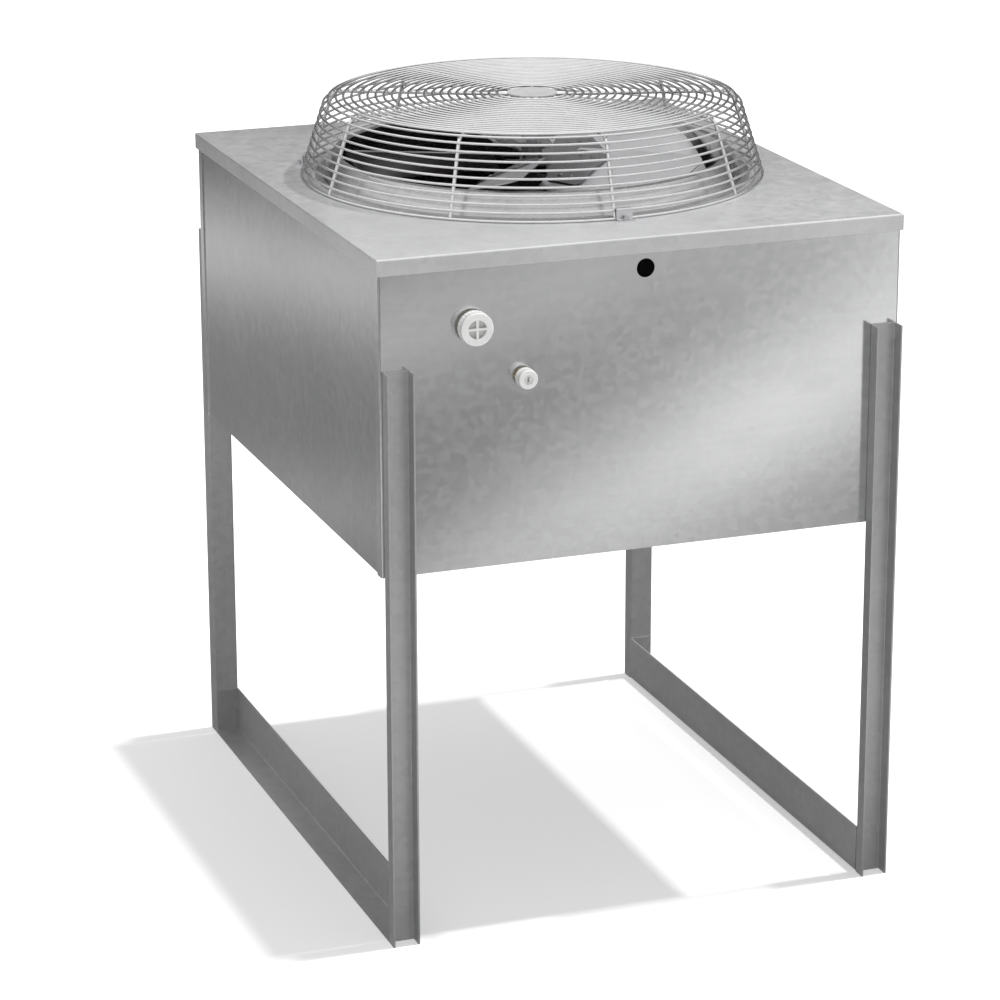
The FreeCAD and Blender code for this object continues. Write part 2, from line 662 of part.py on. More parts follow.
for side, across in (("left", lambda s: s), ("right", mirrored_x)):
    save("leg_front_" + side, across(leg()))
    save("leg_rear_" + side, across(mirrored_y(leg())))
    save("floor_rail_" + side, across(floor_rail()))
    save("coil_end_plate_" + side, across(coil_end_plate()))

save("coil_fin_block", coil_fin_block())
lines = {
    "gas_line": (GAS_FITTING_X, GAS_FITTING_Z, GAS_TUBE_RADIUS, GAS_CAP_RADIUS, GAS_TUBE_INSET),
    "liquid_line": (
        LIQUID_FITTING_X, LIQUID_FITTING_Z, LIQUID_TUBE_RADIUS, LIQUID_CAP_RADIUS, LIQUID_TUBE_INSET
    ),
}
for name, (x, z, tube_radius, cap_radius, inset) in lines.items():
    save(name + "_fitting", line_fitting(x, z, tube_radius, cap_radius))
    save(name + "_cap", fitting_cap(x, z, cap_radius, tube_radius, name == "gas_line"))
    save(name + "_tube", line_tube(x, z, tube_radius, inset))

save("fan_motor", fan_motor())
save("motor_bracket", motor_bracket())
save("fan_shaft", fan_shaft())
save("fan_hub", fan_hub())
for number, piece in enumerate(fan_blades(), start=1):
    save("fan_blade_" + str(number), piece)

save("guard_side", guard_side())
save("guard_top", guard_top())
save("guard_centre_disc", guard_centre_disc())
for number in range(RIB_COUNT // CLIP_EVERY):
    save("guard_clip_" + str(number + 1), guard_clip(number))
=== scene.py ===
"""Looks of the remote condenser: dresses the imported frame, adds its fine pieces and sets up the studio."""

import logging
import math
from dataclasses import dataclass
from enum import Enum
from typing import Iterable, Sequence

import bmesh
import bpy
from mathutils import Matrix, Vector
from mathutils.bvhtree import BVHTree


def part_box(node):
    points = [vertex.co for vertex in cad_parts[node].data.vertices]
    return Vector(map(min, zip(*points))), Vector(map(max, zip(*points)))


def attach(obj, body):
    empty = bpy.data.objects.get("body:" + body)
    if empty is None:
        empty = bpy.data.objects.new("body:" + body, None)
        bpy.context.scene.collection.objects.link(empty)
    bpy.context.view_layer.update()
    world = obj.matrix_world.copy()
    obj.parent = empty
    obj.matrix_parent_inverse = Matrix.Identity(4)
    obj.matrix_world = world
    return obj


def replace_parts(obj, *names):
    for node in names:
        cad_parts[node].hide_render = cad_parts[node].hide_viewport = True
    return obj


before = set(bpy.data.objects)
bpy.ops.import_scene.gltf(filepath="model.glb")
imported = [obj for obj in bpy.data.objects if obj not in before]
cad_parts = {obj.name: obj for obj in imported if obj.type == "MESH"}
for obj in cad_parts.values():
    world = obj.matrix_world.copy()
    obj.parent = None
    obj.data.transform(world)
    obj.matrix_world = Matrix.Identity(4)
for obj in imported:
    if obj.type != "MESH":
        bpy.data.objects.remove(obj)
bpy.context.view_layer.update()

LOG = logging.getLogger("condenser")
MM = 0.001
QUARTER = math.pi / 2
TURN = 2 * math.pi
UP = (0.0, 0.0, 1.0)
DOWN = (0.0, 0.0, -1.0)

Node = bpy.types.Node
Socket = bpy.types.NodeSocket
Pair = tuple[float, float]
Triple = tuple[float, float, float]


class Body(Enum):
    """The two bodies that pieces ride on."""

    HOUSING = "housing"
    FAN = "fan"


class Slot(Enum):
    """Material slots of the record that the scene's own pieces use."""

    SHEET = "galvanised_sheet"
    WIRE = "guard_wire"
    FINS = "coil_fins"
    CAP = "cap_plastic"
    COPPER = "copper_tube"


class Grain(Enum):
    """Way that the rolling grain of a sheet runs."""

    ALONG_X = (0.04, 1.0, 1.0)
    ALONG_Y = (1.0, 0.04, 1.0)
    ALONG_Z = (1.0, 1.0, 0.04)


# Writing node trees


class NodeSheet:
    """A node tree being written. As a value, a node stands for its first output."""

    WHOLE_NAMES = ("NodeGroup", "ShaderNode", "FunctionNode")

    def __init__(self, tree: bpy.types.NodeTree, prefix: str = "ShaderNode") -> None:
        """Keep the tree and the prefix of its node types."""
        self.tree = tree
        self.prefix = prefix

    def add(self, kind: str, *values: object, **settings: object) -> Node:
        """Add a node.

        Args:
            kind: The node's type, with or without the sheet's prefix.
            values: Values for its first inputs.
            settings: Inputs by name, with a capital and with _ for a space, and properties by name.

        Returns:
            The new node.
        """
        node = self.tree.nodes.new(kind if kind.startswith(self.WHOLE_NAMES) else self.prefix + kind)
        for name, value in settings.items():
            if name[0].islower():
                setattr(node, name, value)
        for i, value in enumerate(values):
            self.feed(node.inputs[i], value)
        for name, value in settings.items():
            if name[0].isupper():
                self.feed(node.inputs[name.replace("_", " ")], value)
        return node

    def feed(self, socket: Socket, value: object) -> None:
        """Link a socket to another one or to a node, or set its plain value."""
        if isinstance(value, Node):
            value = value.outputs[0]
        if isinstance(value, Socket):
            self.tree.links.new(value, socket)
        else:
            socket.default_value = value

    def math(self, operation: str, *values: object, clamp: bool = False) -> Socket:
        """Join values one after another with Math nodes.

        Args:
            operation: The nodes' operation.
            values: Two or more numbers or sockets.
            clamp: Whether the last result is kept between 0 and 1.

        Returns:
            The result's socket.
        """
        result = values[0]
        for i, value in enumerate(values[1:], 2):
            ends = clamp and i == len(values)
            result = self.add("ShaderNodeMath", result, value, operation=operation, use_clamp=ends).outputs[0]
        return result

    def plus(self, *values: object, clamp: bool = False) -> Socket:
        """Add values up."""
        return self.math("ADD", *values, clamp=clamp)

    def times(self, *values: object) -> Socket:
        """Multiply values."""
        return self.math("MULTIPLY", *values)

    def minus(self, value: object, less: object, clamp: bool = False) -> Socket:
        """Take one value from another."""
        return self.math("SUBTRACT", value, less, clamp=clamp)

    def swing(self, tone: object, reach: float) -> Socket:
        """Turn a tone between 0 and 1 into a change from -reach to reach."""
        return self.times(self.minus(tone, 0.5), 2 * reach)

    def vector(self, x: object, y: object, z: object = 0.0) -> Socket:
        """Combine three values to a vector."""
        return self.add("ShaderNodeCombineXYZ", x, y, z).outputs[0]

    def span(self, value: object, low: float, high: float, start: float = 0.0, end: float = 1.0) -> Socket:
        """Map a value from one range to another, smoothly and without overshoot.

        Args:
            value: Number or socket to map.
            low: Value that gives start.
            high: Value that gives end.
            start: Result at low.
            end: Result at high.

        Returns:
            The mapped value's socket.
        """
        return self.add("MapRange", interpolation_type="SMOOTHSTEP", Value=value, From_Min=low, From_Max=high,
                        To_Min=start, To_Max=end).outputs[0]

    def noise(self, place: object, scale: object, detail: float = 2.0, rough: float = 0.5) -> Socket:
        """Add a Noise texture.

        Args:
            place: Vector socket.
            scale: Number or socket.
            detail: Octaves.
            rough: Weight of the finer octaves.

        Returns:
            Its value's socket.
        """
        return self.add("TexNoise", Vector=place, Scale=scale, Detail=detail, Roughness=rough).outputs[0]

    def split(self, place: object) -> bpy.types.NodeOutputs:
        """Take a vector apart."""
        return self.add("SeparateXYZ", place).outputs


class MaterialSheet(NodeSheet):
    """A material's tree, with its shader and the place on the piece."""

    def __init__(self, tree: bpy.types.NodeTree) -> None:
        """Start the tree with its shader."""
        super().__init__(tree)
        self.tree.nodes.clear()
        self.shader = self.add("BsdfPrincipled")
        self.end = self.add("OutputMaterial", Surface=self.shader)
        self.place = self.add("TexCoord").outputs["Object"]

    def give(self, **values: object) -> None:
        """Give the shader's inputs their values, by name with _ for a space."""
        for name, value in values.items():
            self.feed(self.shader.inputs[name.replace("_", " ")], value)

    def grey(self, tone: Socket, tint: Sequence[float] = (1.0, 1.0, 1.0)) -> Socket:
        """Turn a tone into a colour.

        Args:
            tone: The tone.
            tint: Factors for red, green and blue.

        Returns:
            The colour's socket.
        """
        return self.add("CombineColor", *(self.times(tone, factor) for factor in tint)).outputs[0]

    def bump(self, height: Socket, depth: float) -> None:
        """Give the shader a bump.

        Args:
            height: The height's socket.
            depth: Depth in metres.
        """
        self.give(Normal=self.add("Bump", Strength=1.0, Distance=depth, Height=height))

    def effect(self, tree: bpy.types.NodeTree, **values: object) -> bpy.types.NodeOutputs:
        """Place a shader group.

        Args:
            tree: The group.
            values: Its inputs, except the place.

        Returns:
            Its outputs.
        """
        return self.add("Group", node_tree=tree, Place=self.place, **values).outputs

    def bare_metal(self, uneven: Socket, spread: float, rough: float, dust: float) -> None:
        """Make the shader bare metal under dust.

        Args:
            uneven: Tone that the roughness follows.
            spread: How far the roughness changes with it.
            rough: Roughness on average.
            dust: Amount of dust.
        """
        cover = self.effect(EFFECTS.dust, Amount=dust)["Cover"]
        self.give(Roughness=self.plus(self.times(uneven, spread), rough - spread / 2, cover, clamp=True), Metallic=1.0)


def new_group(name: str, inputs: dict[str, object], outputs: Iterable[str]) -> tuple[NodeSheet, dict, dict]:
    """Start a shader group.

    Args:
        name: The group's name.
        inputs: Names of the inputs after Place, with their defaults, a tuple for a vector.
        outputs: Names of its value outputs.

    Returns:
        The sheet, its input sockets by name and its output sockets by name.
    """
    tree = bpy.data.node_groups.new(name, "ShaderNodeTree")
    inputs = {"Place": (0.0, 0.0, 0.0), **inputs}
    for label, default in inputs.items():
        kind = "NodeSocketVector" if isinstance(default, tuple) else "NodeSocketFloat"
        tree.interface.new_socket(label, in_out="INPUT", socket_type=kind).default_value = default
    for label in outputs:
        tree.interface.new_socket(label, in_out="OUTPUT", socket_type="NodeSocketFloat")
    sheet = NodeSheet(tree)
    start = sheet.add("NodeGroupInput")
    end = sheet.add("NodeGroupOutput")
    return sheet, {k: start.outputs[k] for k in inputs}, {k: end.inputs[k] for k in outputs}


class SurfaceEffects:
    """Shader groups that several finishes share, each built once."""

    WANDER = 9 * MM
    CRYSTAL_SHARE = 0.85
    SPECKS_PER_METRE = 75.0

    def __init__(self) -> None:
        """Build the groups."""
        self.spangle = self.build_spangle()
        self.rolling = self.build_rolling()
        self.marks = self.build_marks()
        self.dust = self.build_dust()

    def build_spangle(self) -> bpy.types.NodeTree:
        """Crystals of a zinc coat: a tone for each crystal, with edges that wander.

        Returns:
            The group, with output Tone, about 0.5 on average.
        """
        sheet, given, out = new_group("zinc spangle", {"Crystals Per Metre": 90.0}, ("Tone",))
        place, scale = given["Place"], given["Crystals Per Metre"]
        wander = sheet.add("TexNoise", Vector=place, Scale=scale).outputs["Color"]
        shift = sheet.add("VectorMath", wander, operation="SCALE", Scale=self.WANDER)
        moved = sheet.add("VectorMath", place, shift, operation="ADD")
        cells = sheet.add("TexVoronoi", Vector=moved, Scale=scale).outputs["Color"]
        crystal = sheet.add("SeparateColor", cells)
        fine = sheet.noise(place, 420.0, 1.0)
        tone = sheet.plus(sheet.times(crystal, self.CRYSTAL_SHARE), sheet.times(fine, 1.0 - self.CRYSTAL_SHARE))
        sheet.feed(out["Tone"], tone)
        return sheet.tree

    def build_rolling(self) -> bpy.types.NodeTree:
        """Long faint lines that rolling leaves along a sheet.

        Returns:
            The group, with output Tone.
        """
        inputs = {"Stretch": (1.0, 1.0, 1.0), "Lines Per Metre": 160.0}
        sheet, given, out = new_group("rolling grain", inputs, ("Tone",))
        stretched = sheet.add("VectorMath", given["Place"], given["Stretch"], operation="MULTIPLY")
        sheet.feed(out["Tone"], sheet.noise(stretched, given["Lines Per Metre"], 3.0, 0.6))
        return sheet.tree

    def build_marks(self) -> bpy.types.NodeTree:
        """Soft smudges from handling, small scattered specks and the broad unevenness of a sheet's tone.

        Returns:
            The group, with outputs Smudge and Speck, 0 on unmarked metal, and Cloud, from -1 to 1.
        """
        sheet, given, out = new_group("handling marks", {"Seed": 0.0}, ("Smudge", "Speck", "Cloud"))
        place = sheet.add("VectorMath", given["Place"], given["Seed"], operation="ADD")
        flat = sheet.add("Mapping", Vector=place, Scale=(1.0, 1.0, 1.9))
        broad = sheet.noise(flat, 9.0, 3.0, 0.62)
        sheet.feed(out["Smudge"], sheet.span(broad, 0.48, 0.72))
        sheet.feed(out["Cloud"], sheet.span(sheet.noise(place, 2.4), 0.30, 0.70, -1.0, 1.0))
        spot = sheet.span(sheet.add("TexVoronoi", Vector=flat, Scale=self.SPECKS_PER_METRE), 0.08, 0.20, 1.0, 0.0)
        sheet.feed(out["Speck"], sheet.times(spot, sheet.span(broad, 0.54, 0.66)))
        return sheet.tree

    def build_dust(self) -> bpy.types.NodeTree:
        """Fine dust that settles on what faces up.

        Returns:
            The group, with output Cover.
        """
        sheet, given, out = new_group("settled dust", {"Amount": 0.3}, ("Cover",))
        normal = sheet.split(sheet.add("NewGeometry").outputs["Normal"])
        patchy = sheet.span(sheet.noise(given["Place"], 14.0, 4.0, 0.6), 0.35, 0.7, 0.3, 1.0)
        sheet.feed(out["Cover"], sheet.times(sheet.span(normal["Z"], 0.2, 0.95), patchy, given["Amount"]))
        return sheet.tree


EFFECTS = SurfaceEffects()


class Finish:
    """A surface finish: its material is built when it is first asked for."""

    name: str
    _made: dict[str, bpy.types.Material] = {}

    def material(self) -> bpy.types.Material:
        """Give the finish's material, built once."""
        if self.name not in Finish._made:
            made = bpy.data.materials.new(self.name)
            made.use_nodes = True
            self.fill(MaterialSheet(made.node_tree))
            Finish._made[self.name] = made
        return Finish._made[self.name]

    def fill(self, sheet: MaterialSheet) -> None:
        """Write the finish's own nodes."""
        raise NotImplementedError


@dataclass(frozen=True)
class GalvanisedFinish(Finish):
    """Hot-dip galvanised sheet: faint crystals, rolling lines and handling marks, and where asked, painted shade that
    darkens it towards the rear.
    """

    name: str
    tone: float = 0.62
    rough: float = 0.36
    grain: Grain = Grain.ALONG_X
    crystals: float = 0.05
    lines: float = 0.04
    smudges: float = 0.014
    metal: float = 0.90
    seed: float = 0.0
    dust: float = 0.0
    clouds: float = 0.04
    relief: float = 0.0008 * MM
    spread: float = 0.02
    # Painted shade: the tone drops with Y, so the sheet darkens towards the rear, standing in for a lighting gradient.
    painted_rear_shade: float = 0.0

    def fill(self, sheet: MaterialSheet) -> None:
        """Write the zinc's nodes."""
        crystal = sheet.effect(EFFECTS.spangle, Crystals_Per_Metre=85.0)["Tone"]
        rolling = sheet.effect(EFFECTS.rolling, Stretch=self.grain.value, Lines_Per_Metre=150.0)["Tone"]
        marks = sheet.effect(EFFECTS.marks, Seed=self.seed)
        cover = sheet.effect(EFFECTS.dust, Amount=self.dust)["Cover"]
        # The last term is painted shade: it darkens the tone towards the rear (+Y).
        change = sheet.plus(
            1.0, sheet.swing(crystal, self.crystals), sheet.swing(rolling, self.lines),
            sheet.times(sheet.plus(marks["Smudge"], marks["Speck"]), -self.smudges),
            sheet.times(marks["Cloud"], self.clouds), sheet.times(sheet.split(sheet.place)["Y"], -self.painted_rear_shade))
        rough = sheet.plus(sheet.times(crystal, self.spread), self.rough - self.spread / 2,
                           sheet.times(marks["Smudge"], 0.8 * self.smudges), sheet.times(cover, 0.3), clamp=True)
        sheet.give(Base_Color=sheet.grey(sheet.times(change, self.tone), (1.0, 1.003, 1.01)), Roughness=rough,
                   Metallic=sheet.minus(self.metal, sheet.times(cover, 0.5), clamp=True))
        sheet.bump(rolling, self.relief)


@dataclass(frozen=True)
class SpunFinish(Finish):
    """Sheet metal spun on a lathe, with fine rings about the fan's axis."""

    name: str
    tone: float = 0.62
    rough: float = 0.20
    rings: float = 0.12
    relief: float = 0.05 * MM

    def fill(self, sheet: MaterialSheet) -> None:
        """Write the spun metal's nodes."""
        x, y, z = sheet.split(sheet.place)
        reach = sheet.add("VectorMath", sheet.vector(x, y), operation="LENGTH").outputs["Value"]
        fine = sheet.noise(sheet.vector(reach, z), 700.0, 3.0, 0.6)
        crystal = sheet.effect(EFFECTS.spangle, Crystals_Per_Metre=110.0)["Tone"]
        smudge = sheet.effect(EFFECTS.marks, Seed=3.0)["Smudge"]
        change = sheet.plus(1.0, sheet.swing(fine, self.rings), sheet.swing(crystal, 0.04), sheet.times(smudge, -0.08))
        sheet.give(Base_Color=sheet.grey(sheet.times(change, self.tone)))
        sheet.bare_metal(fine, 0.12, self.rough, 0.15)
        sheet.bump(fine, self.relief)


@dataclass(frozen=True)
class WireFinish(Finish):
    """Zinc-plated wire, drawn bright, with duller patches."""

    name: str
    tone: float = 0.80
    rough: float = 0.22
    relief: float = 0.03 * MM

    def fill(self, sheet: MaterialSheet) -> None:
        """Write the wire's nodes."""
        patch = sheet.noise(sheet.place, 26.0, 3.0, 0.6)
        fine = sheet.noise(sheet.place, 900.0, 2.0, 0.6)
        change = sheet.plus(1.0, sheet.swing(patch, 0.11), sheet.swing(fine, 0.07))
        sheet.give(Base_Color=sheet.grey(sheet.times(change, self.tone), (1.0, 1.0, 1.008)))
        sheet.bare_metal(patch, 0.16, self.rough, 0.12)
        sheet.bump(fine, self.relief)


@dataclass(frozen=True)
class PlainMetalFinish(Finish):
    """Turned, drawn or rolled metal with a tint, fine wear and soft patches."""

    name: str
    tint: Triple
    rough: float = 0.3
    patches: float = 0.12
    lines: float = 0.06
    grain: Grain = Grain.ALONG_X
    dust: float = 0.1
    relief: float = 0.04 * MM

    def fill(self, sheet: MaterialSheet) -> None:
        """Write the metal's nodes."""
        patch = sheet.noise(sheet.place, 22.0, 4.0, 0.6)
        rolling = sheet.effect(EFFECTS.rolling, Stretch=self.grain.value, Lines_Per_Metre=420.0)["Tone"]
        change = sheet.plus(1.0, sheet.swing(patch, self.patches), sheet.swing(rolling, self.lines))
        sheet.give(Base_Color=sheet.grey(change, self.tint))
        sheet.bare_metal(patch, 0.2, self.rough, self.dust)
        sheet.bump(rolling, self.relief)


@dataclass(frozen=True)
class MouldedFinish(Finish):
    """Pale moulded plastic with a fine texture and random grime, and painted shade that darkens what is sunk below its
    front.
    """

    name: str
    tone: float = 0.84
    rough: float = 0.42
    front: float = -499.9 * MM
    sunk: Pair = (0.7 * MM, 3.5 * MM)
    behind: Pair = (7.0 * MM, 8.0 * MM)
    # Painted shade: how far the tone darkens in the pocket sunk behind the front.
    painted_pocket_shade: float = 0.26
    relief: float = 0.03 * MM

    def fill(self, sheet: MaterialSheet) -> None:
        """Write the plastic's nodes."""
        grime = sheet.span(sheet.noise(sheet.place, 60.0, 4.0, 0.65), 0.42, 0.75)
        depth = sheet.minus(sheet.split(sheet.place)["Y"], self.front)
        # Painted shade in the recess: the tone darkens with depth behind the front and stops beyond the pocket's
        # floor; the noise grime above is random dirt.
        pocket = sheet.times(sheet.span(depth, *self.sunk, 0.0, self.painted_pocket_shade),
                             sheet.span(depth, *self.behind, 1.0, 0.0))
        tone_after_grime_and_shade = sheet.minus(1.0, sheet.plus(sheet.times(grime, 0.08), pocket))
        sheet.give(Base_Color=sheet.grey(sheet.times(tone_after_grime_and_shade, self.tone), (1.0, 0.998, 0.99)),
                   Roughness=sheet.plus(sheet.times(grime, 0.2), self.rough))
        sheet.bump(sheet.noise(sheet.place, 1500.0, 2.0, 0.6), self.relief)


@dataclass(frozen=True)
class PaintFinish(Finish):
    """Semi-gloss paint on a casting, with orange peel and dust."""

    name: str
    tone: float = 0.05
    rough: float = 0.38
    relief: float = 0.06 * MM

    def fill(self, sheet: MaterialSheet) -> None:
        """Write the paint's nodes."""
        peel = sheet.noise(sheet.place, 500.0, 3.0, 0.5)
        cover = sheet.effect(EFFECTS.dust, Amount=0.35)["Cover"]
        tone = sheet.plus(self.tone, sheet.times(cover, 0.16), sheet.times(peel, 0.01))
        sheet.give(Base_Color=sheet.grey(tone), Roughness=sheet.plus(self.rough, cover, clamp=True))
        sheet.bump(peel, self.relief)


@dataclass(frozen=True)
class Strip:
    """A soft bright strip of the studio floor that only shows in polished metal.

    It lies across a way over the floor, at a distance from the origin, and fades in along Y and along X.
    """

    way: Pair
    centre: float
    width: float
    strength: float
    edge: Pair
    side: Pair = (-60.0, -50.0)

    def shine(self, sheet: MaterialSheet, x: Socket, y: Socket) -> Socket:
        """Write the strip's brightness.

        Args:
            sheet: The floor's tree.
            x: The place across the floor.
            y: The place along the floor.

        Returns:
            Its socket.
        """
        length = math.hypot(*self.way)
        across = sheet.plus(sheet.times(x, self.way[0] / length), sheet.times(y, self.way[1] / length))
        off = sheet.math("DIVIDE", sheet.minus(across, self.centre), self.width)
        bell = sheet.math("POWER", math.e, sheet.times(off, off, -1.0))
        return sheet.times(bell, sheet.span(y, *self.edge), sheet.span(x, *self.side), self.strength)


@dataclass(frozen=True)
class FloorFinish(Finish):
    """Pale studio floor that keeps the object's shadow and is white to the camera where it is lit.

    Metal shows it as a grey floor, darker far behind the object, with soft bright strips.
    """

    name: str
    tone: float = 0.794
    lift: float = 0.38
    mirrored: float = 0.25
    far: Pair = (4.4, 6.0)
    far_share: float = 0.3
    strips: tuple[Strip, ...] = ()

    def fill(self, sheet: MaterialSheet) -> None:
        """Write the floor's nodes."""
        cloud = sheet.noise(sheet.place, 1.3, 3.0, 0.5)
        path = sheet.add("LightPath").outputs
        sheet.give(Base_Color=sheet.grey(sheet.plus(self.tone, sheet.times(cloud, 0.012))), Roughness=0.9,
                   Specular_IOR_Level=0.1, Emission_Strength=1.0,
                   Emission_Color=sheet.grey(sheet.times(path["Is Camera Ray"], self.lift)))
        x, y, _ = sheet.split(sheet.place)
        level = sheet.plus(sheet.span(y, *self.far, self.mirrored, self.mirrored * self.far_share),
                           *(strip.shine(sheet, x, y) for strip in self.strips))
        mirror = sheet.add("Emission", Strength=level)
        mix = sheet.add("MixShader", path["Is Glossy Ray"], sheet.shader, mirror)
        sheet.feed(sheet.end.inputs["Surface"], mix)


class Finishes:
    """All finishes of the condenser."""

    # The lid's tone carries painted shade, darker towards the rear and lighter at the front.
    lid = GalvanisedFinish("galvanised lid", tone=0.60, rough=0.32, metal=0.55, seed=1.0, dust=0.1, clouds=0.07,
                           spread=0.06, relief=0.004 * MM, painted_rear_shade=0.36)
    front = GalvanisedFinish("galvanised front sheet", rough=0.16, seed=2.0)
    rear = GalvanisedFinish("galvanised rear sheet", rough=0.18, seed=5.0)
    side = GalvanisedFinish("galvanised side sheet", tone=0.56, rough=0.16, grain=Grain.ALONG_Y, seed=4.0)
    leg = GalvanisedFinish("galvanised leg channel", tone=0.55, rough=0.46, grain=Grain.ALONG_Z, crystals=0.06,
                           seed=6.0, spread=0.06, relief=0.004 * MM)
    rail = GalvanisedFinish("galvanised floor rail", tone=0.44, rough=0.42, grain=Grain.ALONG_Y, metal=0.55,
                            crystals=0.07, seed=7.0, dust=0.1, spread=0.06, relief=0.004 * MM)
    end_plate = GalvanisedFinish("galvanised end plate", tone=0.58, rough=0.38, grain=Grain.ALONG_Y, seed=8.0)
    collar = SpunFinish("spun collar")
    wire = WireFinish("zinc-plated wire")
    disc = GalvanisedFinish("guard centre plate", tone=0.72, rough=0.30, metal=0.35, seed=9.0)
    clip = PlainMetalFinish("pressed clip", (0.70, 0.70, 0.71), rough=0.32, patches=0.1)
    bolt = PlainMetalFinish("zinc-plated bolt", (0.55, 0.55, 0.56), patches=0.15)
    blade = PlainMetalFinish("rolled aluminium blade", (0.64, 0.64, 0.65), rough=0.34, patches=0.06, lines=0.05)
    hub = PlainMetalFinish("steel fan spider", (0.24, 0.24, 0.245), rough=0.40)
    shaft = PlainMetalFinish("ground shaft", (0.60, 0.60, 0.61), rough=0.22, patches=0.05, lines=0.03,
                             grain=Grain.ALONG_Z)
    bracket = PlainMetalFinish("bracket strap", (0.42, 0.42, 0.43), rough=0.4)
    fins = PlainMetalFinish("coil fin stock", (0.62, 0.63, 0.64), rough=0.36, patches=0.10, lines=0.1,
                            grain=Grain.ALONG_Z)
    brass = PlainMetalFinish("turned brass", (0.62, 0.50, 0.28), patches=0.1)
    copper = PlainMetalFinish("drawn copper", (0.62, 0.36, 0.24), patches=0.16)
    cap = MouldedFinish("moulded cap")
    motor = PaintFinish("motor paint")
    floor = FloorFinish("studio floor", strips=(
        Strip((0.545, 0.838), -2.87, 0.22, 1.02, (-1.0, -2.1)),
        Strip((0.680, 0.734), -1.27, 0.20, 0.94, (-1.5, -2.6)),
        Strip((0.803, 0.596), -0.59, 0.21, 0.61, (-1.9, -3.0)),
        Strip((-0.893, 0.449), 3.06, 0.35, 0.54, (1.1, 1.6)),
        Strip((-0.660, 0.751), 1.88, 0.28, 0.16, (0.5, 1.0)),
        Strip((0.0, 1.0), -1.40, 0.50, 0.75, (0.2, -0.2)),
        Strip((0.893, 0.449), 2.10, 0.40, 0.54, (0.9, 1.5), (0.1, 0.7)),
        Strip((-0.545, -0.838), -2.87, 0.30, 0.70, (1.0, 2.1), (-0.5, 0.1)),
    ))


# Making meshes


@dataclass(frozen=True)
class Role:
    """What a piece is made of and what it rides on."""

    finish: Finish
    slot: Slot
    body: Body = Body.HOUSING


def new_object(name: str, data: bpy.types.ID) -> bpy.types.Object:
    """Make an object of some data and link it to the scene."""
    made = bpy.data.objects.new(name, data)
    bpy.context.scene.collection.objects.link(made)
    return made


def finish_piece(piece: bpy.types.Object, role: Role, degrees: float) -> bpy.types.Object:
    """Shade a piece smoothly except at sharp edges, and give it its material and body.

    Args:
        piece: The object.
        role: Its role.
        degrees: Angle above which an edge stays sharp.

    Returns:
        The same object.
    """
    work = bmesh.new()
    work.from_mesh(piece.data)
    limit = math.radians(degrees)
    for face in work.faces:
        face.smooth = True
    for edge in work.edges:
        edge.smooth = len(edge.link_faces) == 2 and edge.calc_face_angle(math.pi) < limit
    work.to_mesh(piece.data)
    work.free()
    piece.data.materials.clear()
    piece.data.materials.append(role.finish.material())
    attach(piece, role.body.value)
    LOG.info("piece %s: %d faces, rides on %s", piece.name, len(piece.data.polygons), role.body.value)
    return piece


class Draft:
    """A mesh being drawn, in metres, at its place in the frame."""

    SMALLEST_GAP = 1e-6
    SHARP_DEGREES = 32.0

    def __init__(self, name: str) -> None:
        """Start an empty mesh."""
        self.name = name
        self.work = bmesh.new()

    def row(self, place: Matrix, corners: Iterable[Triple]) -> list[bmesh.types.BMVert]:
        """Add corners, moved by a matrix."""
        return [self.work.verts.new(place @ Vector(corner)) for corner in corners]

    def skin(self, rows: Sequence[list[bmesh.types.BMVert]]) -> None:
        """Close the walls between rings of corners, of which one at an axis has a single corner."""
        for a, b in zip(rows, rows[1:]):
            steps = max(len(a), len(b))
            for i in range(steps):
                j = (i + 1) % steps
                corners = [a[i % len(a)], a[j % len(a)], b[j % len(b)], b[i % len(b)]]
                kept = list(dict.fromkeys(corners))
                if len(kept) > 2:
                    self.work.faces.new(kept)

    def lathe(self, profile: Sequence[Pair], place: Matrix, sides: int) -> None:
        """Add a solid of revolution.

        Args:
            profile: Radius and height of each corner, closed at the axis where the radius is 0.
            place: Matrix from the axis along Z to its place.
            sides: Steps round the axis.
        """
        rows = []
        for radius, height in profile:
            angles = [TURN * i / sides for i in range(sides)] if radius else [0.0]
            rows.append(self.row(place, [(radius * math.cos(a), radius * math.sin(a), height) for a in angles]))
        self.skin(rows)

    def loft(self, place: Matrix, rings: Sequence[Sequence[Triple]]) -> None:
        """Add a solid through rings of corners, closed at both ends.

        Args:
            place: Matrix from the drawing to its place.
            rings: Corners of each ring.
        """
        rows = [self.row(place, ring) for ring in rings]
        self.skin(rows)
        self.work.faces.new(rows[0])
        self.work.faces.new(list(reversed(rows[-1])))

    def object(self, role: Role) -> bpy.types.Object:
        """Close the drawing and make the piece.

        Args:
            role: The piece's role.

        Returns:
            The finished object.
        """
        bmesh.ops.remove_doubles(self.work, verts=self.work.verts, dist=self.SMALLEST_GAP)
        bmesh.ops.recalc_face_normals(self.work, faces=self.work.faces)
        mesh = bpy.data.meshes.new(self.name)
        self.work.to_mesh(mesh)
        self.work.free()
        return finish_piece(new_object(self.name, mesh), role, self.SHARP_DEGREES)


# Geometry Nodes


